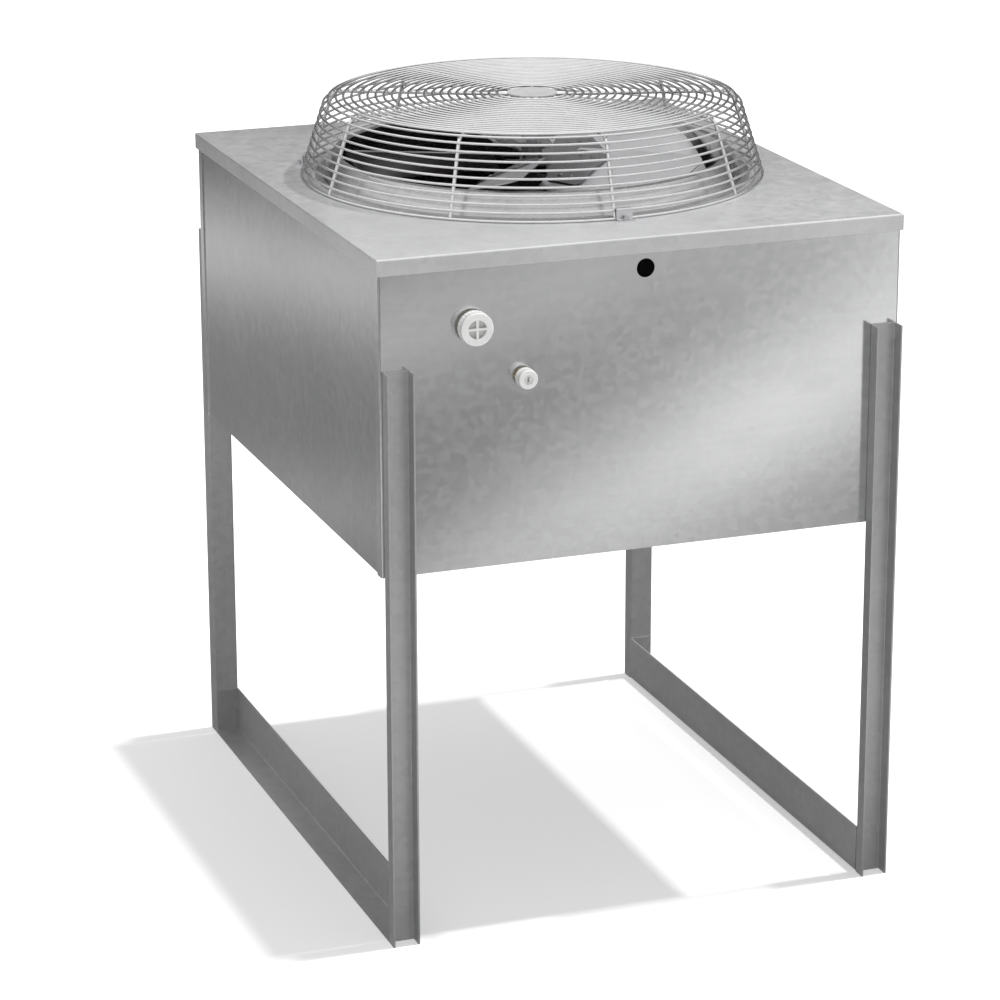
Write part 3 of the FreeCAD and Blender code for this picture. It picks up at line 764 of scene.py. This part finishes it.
class Recipe(NodeSheet):
    """A Geometry Nodes tree with named inputs, which ends in Realize Instances and Set Material."""

    def __init__(self, name: str) -> None:
        """Start the tree with its geometry and material sockets."""
        super().__init__(bpy.data.node_groups.new(name, "GeometryNodeTree"), "GeometryNode")
        self.names: dict[str, str] = {}
        self.start = self.add("NodeGroupInput")
        self.end = self.add("NodeGroupOutput")
        self.ask("Seeds", "Geometry")
        self.ask("Material", "Material")
        self.tree.interface.new_socket("Result", in_out="OUTPUT", socket_type="NodeSocketGeometry")

    @property
    def seeds(self) -> Socket:
        """The seeds' socket."""
        return self.start.outputs["Seeds"]

    def ask(self, label: str, kind: str = "Float") -> Socket:
        """Add a named input.

        Args:
            label: The input's name.
            kind: Its socket type without the NodeSocket prefix.

        Returns:
            The socket inside the tree.
        """
        item = self.tree.interface.new_socket(label, in_out="INPUT", socket_type="NodeSocket" + kind)
        self.names[label] = item.identifier
        return self.start.outputs[label]

    def half(self, value: object) -> Socket:
        """Halve a value."""
        return self.times(value, 0.5)

    def attribute(self, name: str, kind: str = "FLOAT") -> Node:
        """Read a named attribute of the seeds."""
        return self.add("InputNamedAttribute", data_type=kind, Name=name)

    def copies(self, thing: object, points: object, **more: object) -> Node:
        """Put real copies of a thing on points.

        Args:
            thing: The geometry.
            points: The points.
            more: The node's other inputs.

        Returns:
            The node that gives the copies.
        """
        placed = self.add("InstanceOnPoints", Points=points, Instance=thing, **more)
        return self.add("RealizeInstances", Geometry=placed)

    def moved(self, geometry: object, **how: object) -> Node:
        """Move, turn or scale geometry."""
        return self.add("Transform", Geometry=geometry, **how)

    def sweep(self, curve: object, width: object, sides: object, caps: bool = False) -> Node:
        """Sweep a round section along a curve.

        Args:
            curve: The curve.
            width: The section's diameter.
            sides: The section's corners.
            caps: Whether the ends are closed.

        Returns:
            The node that gives the tube.
        """
        section = self.add("CurvePrimitiveCircle", Resolution=sides, Radius=self.half(width))
        return self.add("CurveToMesh", Curve=curve, Profile_Curve=section, Fill_Caps=caps)

    def close(self, geometry: object) -> "Recipe":
        """End the tree with Set Material.

        Args:
            geometry: The real geometry.

        Returns:
            The recipe.
        """
        painted = self.add("SetMaterial", Geometry=geometry, Material=self.start.outputs["Material"])
        self.feed(self.end.inputs["Result"], painted)
        return self

    def close_heads(self, head: object) -> "Recipe":
        """End the tree with a head on every seed, turned from Z to the seed's facing.

        Args:
            head: The head's geometry, drawn along Z.

        Returns:
            The recipe.
        """
        facing = self.attribute("facing", "FLOAT_VECTOR")
        turn = self.add("FunctionNodeAlignRotationToVector", axis="Z", Vector=facing)
        return self.close(self.copies(head, self.seeds, Rotation=turn))

    def run(self, name: str, seeds: bpy.types.Mesh, role: Role, degrees: float = Draft.SHARP_DEGREES,
            **values: object) -> bpy.types.Object:
        """Grow a piece from seeds and turn it into a plain mesh.

        Args:
            name: The piece's name.
            seeds: Mesh that the tree starts from.
            role: The piece's role.
            degrees: Angle above which an edge stays sharp.
            values: The tree's inputs, with _ for a space.

        Returns:
            The finished object.
        """
        piece = new_object(name, seeds)
        modifier = piece.modifiers.new("recipe", "NODES")
        modifier.node_group = self.tree
        modifier[self.names["Material"]] = role.finish.material()
        for label, value in values.items():
            modifier[self.names[label.replace("_", " ")]] = value
        depsgraph = bpy.context.evaluated_depsgraph_get()
        mesh = bpy.data.meshes.new_from_object(piece.evaluated_get(depsgraph), depsgraph=depsgraph)
        piece.modifiers.clear()
        piece.data = mesh
        mesh.name = name
        return finish_piece(piece, role, degrees)


def ring_recipe() -> Recipe:
    """Round wire rings about the fan's axis, one for each seed with its ring_radius."""
    recipe = Recipe("wire rings")
    wire, steps, sides = recipe.ask("Wire Diameter"), recipe.ask("Ring Sides", "Int"), recipe.ask("Wire Sides", "Int")
    radius = recipe.attribute("ring_radius")
    circle = recipe.add("CurvePrimitiveCircle", Resolution=steps, Radius=1.0)
    rings = recipe.copies(circle, recipe.seeds, Scale=recipe.vector(radius, radius, 1.0))
    return recipe.close(recipe.sweep(rings, wire, sides))


def spoke_recipe() -> Recipe:
    """Bent wires about the fan's axis: the seed line, rounded at its corners and repeated."""
    recipe = Recipe("wire spokes")
    wire, count = recipe.ask("Wire Diameter"), recipe.ask("Spokes", "Int")
    first, bend = recipe.ask("First Angle"), recipe.ask("Bend Radius")
    line = recipe.add("MeshToCurve", Mesh=recipe.seeds)
    rounded = recipe.add("FilletCurve", mode="POLY", Curve=line, Radius=bend, Count=6)
    angle = recipe.plus(first, recipe.times(recipe.add("InputIndex"), recipe.math("DIVIDE", TURN, count)))
    spokes = recipe.copies(rounded, recipe.add("Points", Count=count), Rotation=recipe.vector(0.0, 0.0, angle))
    return recipe.close(recipe.sweep(spokes, wire, 10, caps=True))


def bolt_recipe() -> Recipe:
    """Hexagon bolt heads with washers, one on each seed, facing its way."""
    recipe = Recipe("hexagon bolts")
    width, height = recipe.ask("Head Width"), recipe.ask("Head Height")
    washer, thick = recipe.ask("Washer Width"), recipe.ask("Washer Height")
    base = recipe.add("MeshCylinder", Vertices=20, Radius=recipe.half(washer), Depth=thick)
    low = recipe.moved(base, Translation=recipe.vector(0.0, 0.0, recipe.half(thick)))
    wide = recipe.half(width)
    head = recipe.add("MeshCone", Vertices=6, Radius_Bottom=wide, Radius_Top=recipe.times(wide, 0.93), Depth=height)
    high = recipe.moved(head, Translation=recipe.vector(0.0, 0.0, recipe.times(thick, 0.98)))
    both = recipe.add("JoinGeometry")
    for part in (low, high):
        recipe.feed(both.inputs[0], part)
    return recipe.close_heads(both)


def rivet_recipe() -> Recipe:
    """Domed rivet heads, one on each seed, facing its way."""
    recipe = Recipe("domed rivets")
    width, flat = recipe.ask("Head Width"), recipe.ask("Flatness")
    ball = recipe.add("MeshUVSphere", Segments=14, Rings=8, Radius=recipe.half(width))
    return recipe.close_heads(recipe.moved(ball, Scale=recipe.vector(1.0, 1.0, flat)))


def row_recipe() -> Recipe:
    """A row of equal thin plates along X, from the first seed on."""
    recipe = Recipe("row of plates")
    count, pitch, size = recipe.ask("Plates", "Int"), recipe.ask("Pitch"), recipe.ask("Plate Size", "Vector")
    line = recipe.add("MeshLine", Count=count, Offset=recipe.vector(pitch, 0.0, 0.0))
    rows = recipe.copies(recipe.add("MeshCube", Size=size), line)
    return recipe.close(recipe.copies(rows, recipe.seeds))


def bend_recipe() -> Recipe:
    """Half-round return bends of tube, one on each seed, standing out to the seed's side."""
    recipe = Recipe("return bends")
    tube, pitch = recipe.ask("Tube Diameter"), recipe.ask("Pitch")
    arc = recipe.add("CurveArc", Resolution=14, Radius=recipe.half(pitch), Start_Angle=0.0, Sweep_Angle=math.pi)
    upright = recipe.moved(recipe.sweep(arc, tube, 10), Rotation=(QUARTER, 0.0, QUARTER))
    turn = recipe.vector(0.0, recipe.times(recipe.attribute("side"), QUARTER))
    return recipe.close(recipe.copies(upright, recipe.seeds, Rotation=turn))


class Recipes:
    """The recipes that the sub-assemblies share."""

    rings = ring_recipe()
    spokes = spoke_recipe()
    bolts = bolt_recipe()
    rivets = rivet_recipe()
    plates = row_recipe()
    bends = bend_recipe()


def seed_mesh(name: str, points: Sequence[Sequence[float]], edges: Sequence[tuple[int, int]] = (),
              facing: Sequence[Vector] = (), **numbers: Sequence[float]) -> bpy.types.Mesh:
    """Make a mesh of points that a recipe grows pieces from.

    Args:
        name: The piece's name.
        points: Places in metres.
        edges: Edges between the points.
        facing: Outward direction at each point, if any.
        numbers: Float attributes by name.

    Returns:
        The mesh.
    """
    mesh = bpy.data.meshes.new(name + " seeds")
    mesh.from_pydata([tuple(p) for p in points], list(edges), [])
    if facing:
        layer = mesh.attributes.new("facing", "FLOAT_VECTOR", "POINT")
        layer.data.foreach_set("vector", [c for v in facing for c in v])
    for label, values in numbers.items():
        mesh.attributes.new(label, "FLOAT", "POINT").data.foreach_set("value", list(values))
    return mesh


class Surface:
    """A CAD node's surface, for seating small pieces on it."""

    def __init__(self, node: str) -> None:
        """Read the node's mesh."""
        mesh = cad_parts[node].data
        faces = [tuple(p.vertices) for p in mesh.polygons]
        self.node = node
        self.tree = BVHTree.FromPolygons([v.co.copy() for v in mesh.vertices], faces)

    def hit(self, start: Sequence[float], way: Triple) -> tuple[Vector, Vector]:
        """Find where a ray meets the node.

        Args:
            start: The ray's start.
            way: Its direction.

        Returns:
            The place and the outward normal there.
        """
        place, normal, _, _ = self.tree.ray_cast(Vector(start), Vector(way))
        if place is None:
            raise ValueError(f"the ray misses {self.node}")
        return place, -normal if normal.dot(Vector(way)) > 0 else normal

    @classmethod
    def seat(cls, name: str, spots: Sequence[tuple[str, Sequence[float]]], way: Triple) -> bpy.types.Mesh:
        """Make seeds where rays meet CAD nodes.

        Args:
            name: The piece's name.
            spots: The node and the start of each ray.
            way: The rays' direction.

        Returns:
            The seeds, facing outwards.
        """
        surfaces = {node: cls(node) for node, _ in spots}
        hits = [surfaces[node].hit(start, way) for node, start in spots]
        return seed_mesh(name, [place for place, _ in hits], facing=[normal for _, normal in hits])


# Sub-assemblies


class SubAssembly:
    """A sub-assembly: it dresses its CAD nodes and may build finer pieces."""

    looks: tuple[tuple[Finish, tuple[str, ...]], ...] = ()

    def dress(self) -> None:
        """Give the CAD nodes their finishes in place of their plain materials."""
        for finish, nodes in self.looks:
            for name in nodes:
                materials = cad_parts[name].data.materials
                materials.clear()
                materials.append(finish.material())
                LOG.info("node %s: %s", name, finish.name)

    def build(self) -> None:
        """Build the finer pieces, none unless the sub-assembly says so."""


class SheetBox(SubAssembly):
    """Lid and four sheets of the box."""

    looks = (
        (Finishes.lid, ("top_panel",)),
        (Finishes.front, ("front_panel",)),
        (Finishes.rear, ("rear_panel",)),
        (Finishes.side, ("left_side_panel", "right_side_panel")),
    )


class LegFrames(SubAssembly):
    """Channel legs and floor rails on both sides."""

    looks = (
        (Finishes.leg, ("leg_front_left", "leg_front_right", "leg_rear_left", "leg_rear_right")),
        (Finishes.rail, ("floor_rail_left", "floor_rail_right")),
    )


@dataclass
class Coil(SubAssembly):
    """Flat coil: fins, tube rows, return bends and end plates."""

    fin_pitch: float = 3.2 * MM
    fin_sheet: float = 0.35 * MM
    tube: float = 9.5 * MM
    tube_sides: int = 10
    tube_pitch: float = 25.4 * MM
    rows: int = 3
    row_pitch: float = 22.0 * MM
    end_plate: float = 1.5 * MM
    looks = ((Finishes.end_plate, ("coil_end_plate_left", "coil_end_plate_right")),)

    def build(self) -> None:
        """Build fins and return bends in place of the solid block."""
        low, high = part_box("coil_fin_block")
        middle = (low + high) / 2
        size = high - low
        count = int(size.x / self.fin_pitch)
        start = Vector((middle.x - (count - 1) * self.fin_pitch / 2, middle.y, middle.z))
        fins = Recipes.plates.run("coil_fins", seed_mesh("coil_fins", [start]), Role(Finishes.fins, Slot.FINS),
                                  Plates=count, Pitch=self.fin_pitch, Plate_Size=(self.fin_sheet, size.y, size.z))
        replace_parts(fins, "coil_fin_block")
        self.build_tubes(low, high)

    def build_tubes(self, low: Vector, high: Vector) -> None:
        """Build the straight tubes through the fins and the bends outside the end plates.

        Args:
            low: Lowest corner of the fin block.
            high: Highest corner of the fin block.
        """
        middle = (low + high) / 2
        columns = int((high.y - low.y) / self.tube_pitch)
        columns -= columns % 2
        left, right = low.x - self.end_plate, high.x + self.end_plate
        radius, length = self.tube / 2, right - left
        draft = Draft("coil_tubes")
        places, sides = [], []
        for row in range(self.rows):
            z = middle.z + (row - (self.rows - 1) / 2) * self.row_pitch
            for column in range(columns):
                y = middle.y + (column - (columns - 1) / 2) * self.tube_pitch
                place = Matrix.Translation((left, y, z)) @ Matrix.Rotation(QUARTER, 4, "Y")
                draft.lathe([(0, 0), (radius, 0), (radius, length), (0, length)], place, self.tube_sides)
                even = column % 2 == 0
                if even or column < columns - 1:
                    places.append((left if even else right, y + self.tube_pitch / 2, z))
                    sides.append(-1.0 if even else 1.0)
        role = Role(Finishes.copper, Slot.COPPER)
        draft.object(role)
        Recipes.bends.run("coil_return_bends", seed_mesh("coil_return_bends", places, side=sides), role,
                          Tube_Diameter=self.tube, Pitch=self.tube_pitch)


@dataclass(frozen=True)
class CapShape:
    """Sizes of one moulded cap."""

    node: str
    radius: float
    pocket: float
    depth: float
    lug: float
    cross: bool


class MouldedCap:
    """A moulded cap being drawn. Its axis runs along Z, from the front backwards."""

    GRIPS = 30
    GRIP_HEIGHT = 0.6 * MM
    GRIP_WIDTH = 0.9 * MM
    SINK = 0.2 * MM
    RIM = 1.6 * MM
    POCKET_ROUND = 0.8 * MM
    BACK_CHAMFER = 0.4 * MM
    SIDES = 48
    CROSS_DROP = 0.5 * MM
    LAND_DROP = 2.0 * MM
    LAND_STEPS = 14
    SLOT_SHARE = 0.52

    def __init__(self, shape: CapShape) -> None:
        """Start the drawing at the CAD cap's place."""
        low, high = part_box(shape.node)
        self.shape = shape
        self.length = high.y - low.y
        self.centre = (low + high) / 2
        self.front = Matrix.Translation((self.centre.x, low.y, self.centre.z)) @ Matrix.Rotation(-QUARTER, 4, "X")
        self.draft = Draft(shape.node + "_moulded")

    def build(self) -> None:
        """Build the cap in place of the plain one."""
        self.cup()
        if self.shape.cross:
            self.cross()
        else:
            self.slotted_floor()
        for i in range(self.GRIPS):
            self.grip(TURN * i / self.GRIPS)
        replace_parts(self.draft.object(Role(Finishes.cap, Slot.CAP)), self.shape.node)

    def cup(self) -> None:
        """Add the cup with its rounded rim and its pocket."""
        floor, bend, rim = self.shape.depth, self.POCKET_ROUND, self.RIM
        outer, inner = self.shape.radius - self.GRIP_HEIGHT, self.shape.pocket
        profile = [(0, floor), (inner - bend, floor), (inner, floor - bend), (inner, bend)]
        for i in range(4):
            angle = math.radians(30 * i)
            profile.append((inner + bend * (1 - math.cos(angle)), bend * (1 - math.sin(angle))))
        for i in range(5):
            angle = math.radians(22.5 * i)
            profile.append((outer - rim * (1 - math.sin(angle)), rim * (1 - math.cos(angle))))
        profile += [(outer, self.length - self.BACK_CHAMFER), (outer - self.BACK_CHAMFER, self.length),
                    (0, self.length)]
        self.draft.lathe(profile, self.front, self.SIDES)

    def block(self, outline: Sequence[Pair], drop: float) -> None:
        """Add an upright prism that stands on the pocket's floor.

        Args:
            outline: Corners across the axis.
            drop: Depth of its top behind the front.
        """
        ends = (drop, self.shape.depth + self.SINK)
        self.draft.loft(self.front, [[(x, y, z) for x, y in outline] for z in ends])

    def cross(self) -> None:
        """Add the cross of ribs that divides a large cap's pocket."""
        reach, half = self.shape.pocket + 0.5 * MM, self.shape.lug
        outline = []
        for i in range(4):
            turn = Matrix.Rotation(-QUARTER * i, 2)
            outline += [tuple(turn @ Vector(corner)) for corner in ((half, reach), (half, half), (reach, half))]
        self.block(outline, self.CROSS_DROP)

    def slotted_floor(self) -> None:
        """Add two half-round lands that leave a slot across a small cap's pocket, and the slot's closed ends."""
        reach, wide = self.shape.pocket + self.SINK, self.shape.lug + 0.3 * MM
        start = math.asin(self.shape.lug / reach)
        arc = [start + (math.pi - 2 * start) * i / self.LAND_STEPS for i in range(self.LAND_STEPS + 1)]
        for side in (1.0, -1.0):
            self.block([(side * reach * math.sin(a), -side * reach * math.cos(a)) for a in arc], self.LAND_DROP)
        for side in (1.0, -1.0):
            y0, y1 = sorted((side * self.shape.pocket * self.SLOT_SHARE, side * reach))
            self.block([(-wide, y0), (wide, y0), (wide, y1), (-wide, y1)], self.LAND_DROP)

    def grip(self, angle: float) -> None:
        """Add one rib along the cap's side.

        Args:
            angle: Its angle about the cap's axis.
        """
        half, wide, sunk, top = self.length / 2, self.GRIP_WIDTH, -self.SINK, self.GRIP_HEIGHT
        base = self.shape.radius - top
        steps = ((2.4 * MM - half, sunk), (3.4 * MM - half, top), (half - 1.5 * MM, top), (half - 1.0 * MM, sunk))
        rings = [[(x, y, base + rise) for x, rise in ((-wide, sunk), (-wide / 2, out), (wide / 2, out), (wide, sunk))]
                 for y, out in steps]
        self.draft.loft(Matrix.Translation(self.centre) @ Matrix.Rotation(angle, 4, "Y"), rings)


@dataclass
class LineConnections(SubAssembly):
    """Two line fittings with their caps and tubes."""

    caps: tuple[CapShape, ...] = (
        CapShape("gas_line_cap", 25.5 * MM, 14.0 * MM, 5.0 * MM, 1.8 * MM, True),
        CapShape("liquid_line_cap", 15.2 * MM, 7.2 * MM, 5.0 * MM, 1.7 * MM, False),
    )
    looks = (
        (Finishes.brass, ("gas_line_fitting", "liquid_line_fitting")),
        (Finishes.copper, ("gas_line_tube", "liquid_line_tube")),
    )

    def build(self) -> None:
        """Build both moulded caps."""
        for shape in self.caps:
            MouldedCap(shape).build()


def polar(radius: float, degrees: float, height: float) -> Triple:
    """Give a place by its distance and angle about the fan's axis.

    Args:
        radius: Distance from the axis in metres.
        degrees: Angle from +X.
        height: Height in metres.

    Returns:
        The place.
    """
    angle = math.radians(degrees)
    return radius * math.cos(angle), radius * math.sin(angle), height


@dataclass
class FanUnit(SubAssembly):
    """Fan with spider, shaft, motor and the bracket that carries it."""

    blades: int = 5
    first_angle: float = -62.0
    pad_rows: Triple = (82 * MM, 104 * MM, 122 * MM)
    pad_half: float = 26 * MM
    rivet: float = 9.0 * MM
    foot_reach: float = 331.0 * MM
    ray_start: float = 50.0 * MM
    looks = (
        (Finishes.blade, tuple(f"fan_blade_{i + 1}" for i in range(5))),
        (Finishes.hub, ("fan_hub",)),
        (Finishes.shaft, ("fan_shaft",)),
        (Finishes.motor, ("fan_motor",)),
        (Finishes.bracket, ("motor_bracket",)),
    )

    def build(self) -> None:
        """Rivet each blade to its arm of the spider, and bolt the bracket's feet under the lid."""
        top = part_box("fan_hub")[1].z + self.ray_start
        spots = []
        for number in range(self.blades):
            turn = Matrix.Rotation(math.radians(self.first_angle + number * 360 / self.blades), 4, "Z")
            for x in self.pad_rows:
                for y in (-self.pad_half, self.pad_half):
                    spots.append(("fan_hub", turn @ Vector((x, y, 0.0)) + Vector((0.0, 0.0, top))))
        Recipes.rivets.run("blade_rivets", Surface.seat("blade_rivets", spots, DOWN),
                           Role(Finishes.hub, Slot.SHEET, Body.FAN), Head_Width=self.rivet, Flatness=0.5)
        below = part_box("motor_bracket")[0].z - self.ray_start
        spots = [("motor_bracket", polar(self.foot_reach, 45 + 90 * i, below)) for i in range(4)]
        Recipes.bolts.run("bracket_bolts", Surface.seat("bracket_bolts", spots, UP), Role(Finishes.bolt, Slot.SHEET),
                          Head_Width=11 * MM, Head_Height=5 * MM, Washer_Width=18 * MM, Washer_Height=1.4 * MM)


@dataclass
class WireGuard(SubAssembly):
    """Domed guard of round wire rings on bent ribs, with its centre plate and clips."""

    base_radius: float = 365.0 * MM
    shoulder_radius: float = 326.5 * MM
    foot: float = 2.35 * MM
    height: float = 123.5 * MM
    rise: float = 4.0 * MM
    corner: float = 22.0 * MM
    corner_steps: int = 24
    pitch: float = 12.7 * MM
    wire: float = 4.0 * MM
    wire_sides: int = 8
    ring_sides: int = 144
    rib_wire: float = 6.0 * MM
    ribs: int = 9
    first_rib: float = -90.5
    disc_radius: float = 39.5 * MM
    clips: int = 3
    clip_angle: float = 1.95
    clip_reach: float = 8.2 * MM
    weld: float = 0.6 * MM
    sharp_degrees: float = 60.0
    looks = (
        (Finishes.collar, ("fan_collar",)),
        (Finishes.disc, ("guard_centre_disc",)),
        (Finishes.clip, ("guard_clip_1", "guard_clip_2", "guard_clip_3")),
    )

    def __post_init__(self) -> None:
        """Work out the line through the rings' centres, as radius and height of its corners."""
        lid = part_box("top_panel")[1].z
        self.line = [Vector((self.base_radius, lid + self.foot)), Vector((self.shoulder_radius, lid + self.height)),
                     Vector((0.0, lid + self.height + self.rise))]
        self.role = Role(Finishes.wire, Slot.WIRE)

    def rounded_line(self) -> list[Vector]:
        """Give the rings' line with its shoulder rounded, as close points."""
        a, b, c = self.line
        first, second = (a - b).normalized(), (c - b).normalized()
        half = math.acos(first.dot(second)) / 2
        back = self.corner / math.tan(half)
        centre = b + (first + second).normalized() * (self.corner / math.sin(half))
        start, end = b + first * back, b + second * back
        angle = (start - centre).angle_signed(end - centre)
        bend = [centre + Matrix.Rotation(-angle * i / self.corner_steps, 2) @ (start - centre)
                for i in range(1, self.corner_steps)]
        return [a, start, *bend, end, c]

    def places(self) -> list[Pair]:
        """Give radius and height of each ring at equal steps along the line."""
        points = self.rounded_line()
        found = [(points[0].x, points[0].y)]
        left = self.pitch
        for a, b in zip(points, points[1:]):
            length = (b - a).length
            done = 0.0
            while length - done >= left:
                done += left
                spot = a + (b - a) * (done / length)
                found.append((spot.x, spot.y))
                left = self.pitch
            left -= length - done
        return found

    def build(self) -> None:
        """Build rings and ribs in place of the plain ones, and bolt the clips down."""
        flat = self.shoulder_radius - self.corner - self.wire / 2
        spots = [(r, z - self.weld) if r <= flat else (r - self.weld, z) for r, z in self.places()]
        spots = [(r, z) for r, z in spots if r > self.disc_radius + self.wire]
        seeds = seed_mesh("guard_rings", [(0.0, 0.0, z) for _, z in spots], ring_radius=[r for r, _ in spots])
        rings = Recipes.rings.run("guard_rings", seeds, self.role, self.sharp_degrees, Wire_Diameter=self.wire,
                                  Ring_Sides=self.ring_sides, Wire_Sides=self.wire_sides)
        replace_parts(rings, "guard_side", "guard_top")
        self.build_ribs()
        self.build_clip_bolts()

    def build_ribs(self) -> None:
        """Build the ribs inside the rings, from the lid to the centre plate."""
        (r0, z0), (r1, z1), (_, z2) = self.line
        inset = (self.wire + self.rib_wire) / 2
        lean = math.atan2(r0 - r1, z1 - z0)
        foot = (r0 - inset / math.cos(lean) + 0.4 * MM, 0.0, z0 + 0.9 * MM)
        shoulder = (r1 - inset * 1.12, 0.0, z1 - inset)
        middle = (self.disc_radius - self.rib_wire, 0.0, z2 - inset)
        seeds = seed_mesh("guard_ribs", [foot, shoulder, middle], edges=[(0, 1), (1, 2)])
        Recipes.spokes.run("guard_ribs", seeds, self.role, self.sharp_degrees, Wire_Diameter=self.rib_wire,
                           Spokes=self.ribs, First_Angle=math.radians(self.first_rib), Bend_Radius=self.corner - inset)

    def build_clip_bolts(self) -> None:
        """Put a bolt on each clip's foot."""
        reach = self.base_radius + self.wire / 2 + self.clip_reach
        above = self.line[1].y
        spots = [(f"guard_clip_{i + 1}", polar(reach, self.first_rib + self.clip_angle + i * 360 / self.clips, above))
                 for i in range(self.clips)]
        Recipes.bolts.run("clip_bolts", Surface.seat("clip_bolts", spots, DOWN), Role(Finishes.bolt, Slot.SHEET),
                          Head_Width=8 * MM, Head_Height=4 * MM, Washer_Width=11 * MM, Washer_Height=1.0 * MM)


# Studio


@dataclass
class Studio:
    """Floor, world, lamps and the camera."""

    floor_half: float = 40.0
    focal_pixels: float = 3695.0
    image_pixels: float = 1000.0
    sensor: float = 36.0
    view_depth: float = 200.0
    place: Triple = (-2.023, -5.371, 2.318)
    yaw: float = 20.12
    pitch: float = 17.41
    roll: float = -0.142
    backdrop_way: Pair = (0.342, 0.940)
    overhead: float = 1.1
    ambient: float = 0.55
    lamp_spread: float = 2.0

    def build(self) -> None:
        """Build the whole studio."""
        self.build_floor()
        self.build_world()
        self.sun("lamp_steep", 0.17, 1.5)
        self.sun("lamp_low", 0.576, 1.6)
        self.build_camera()
        bpy.context.scene.view_settings.view_transform = "Standard"

    def build_floor(self) -> None:
        """Lay the pale floor."""
        mesh = bpy.data.meshes.new("studio_floor")
        half = self.floor_half
        mesh.from_pydata([(-half, -half, 0), (half, -half, 0), (half, half, 0), (-half, half, 0)], [], [(0, 1, 2, 3)])
        mesh.materials.append(Finishes.floor.material())
        new_object("studio_floor", mesh)

    def build_world(self) -> None:
        """Make the backdrop white to the camera; metal shows it dark low behind the object and bright overhead."""
        world = bpy.data.worlds.new("studio")
        bpy.context.scene.world = world
        world.use_nodes = True
        world.node_tree.nodes.clear()
        sheet = NodeSheet(world.node_tree)
        path = sheet.add("LightPath").outputs
        x, y, z = sheet.split(sheet.add("TexCoord").outputs["Generated"])
        behind = sheet.plus(sheet.times(x, self.backdrop_way[0]), sheet.times(y, self.backdrop_way[1]))
        low = sheet.span(behind, 0.25, 0.88, 0.75, 0.05)
        rise = sheet.span(z, 0.24, 0.66)
        mirror = sheet.plus(low, sheet.times(rise, sheet.minus(self.overhead, low)))
        glossy = path["Is Glossy Ray"]
        seen = sheet.plus(sheet.times(glossy, mirror), sheet.times(sheet.minus(1.0, glossy), self.ambient))
        back = sheet.add("Background", Color=(1.0, 1.0, 1.0, 1.0),
                         Strength=sheet.math("MAXIMUM", path["Is Camera Ray"], seen))
        sheet.add("OutputWorld", Surface=back)

    def sun(self, name: str, lean: float, strength: float) -> None:
        """Add a distant lamp from the right that metal doesn't show.

        Args:
            name: Its name.
            lean: How far to the right it is for each metre up.
            strength: Its strength.
        """
        data = bpy.data.lights.new(name, "SUN")
        data.energy = strength
        data.angle = math.radians(self.lamp_spread)
        lamp = new_object(name, data)
        lamp.rotation_mode = "QUATERNION"
        lamp.rotation_quaternion = Vector((lean, 0.0, 1.0)).normalized().to_track_quat("Z", "Y")
        lamp.visible_glossy = False

    def build_camera(self) -> None:
        """Set the camera at the photograph's viewing angle."""
        yaw, pitch, roll = (math.radians(a) for a in (self.yaw, self.pitch, self.roll))
        ahead = Vector((math.sin(yaw) * math.cos(pitch), math.cos(yaw) * math.cos(pitch), -math.sin(pitch)))
        right = Vector((math.cos(yaw), -math.sin(yaw), 0.0))
        up = right.cross(ahead)
        x = right * math.cos(roll) + up * math.sin(roll)
        y = up * math.cos(roll) - right * math.sin(roll)
        data = bpy.data.cameras.new("camera")
        data.sensor_width = self.sensor
        data.lens = self.focal_pixels * self.sensor / self.image_pixels
        data.clip_end = self.view_depth
        camera = new_object("camera", data)
        camera.matrix_world = Matrix.Translation(self.place) @ Matrix((x, y, -ahead)).transposed().to_4x4()
        bpy.context.scene.camera = camera


def main() -> None:
    """Build the sub-assemblies in order, then the studio."""
    logging.basicConfig(level=logging.INFO, format="%(name)s: %(message)s")
    for part in (SheetBox(), LegFrames(), Coil(), LineConnections(), FanUnit(), WireGuard()):
        LOG.info("sub-assembly %s", type(part).__name__)
        part.dress()
        part.build()
    Studio().build()


if __name__ == "__main__":
    main()
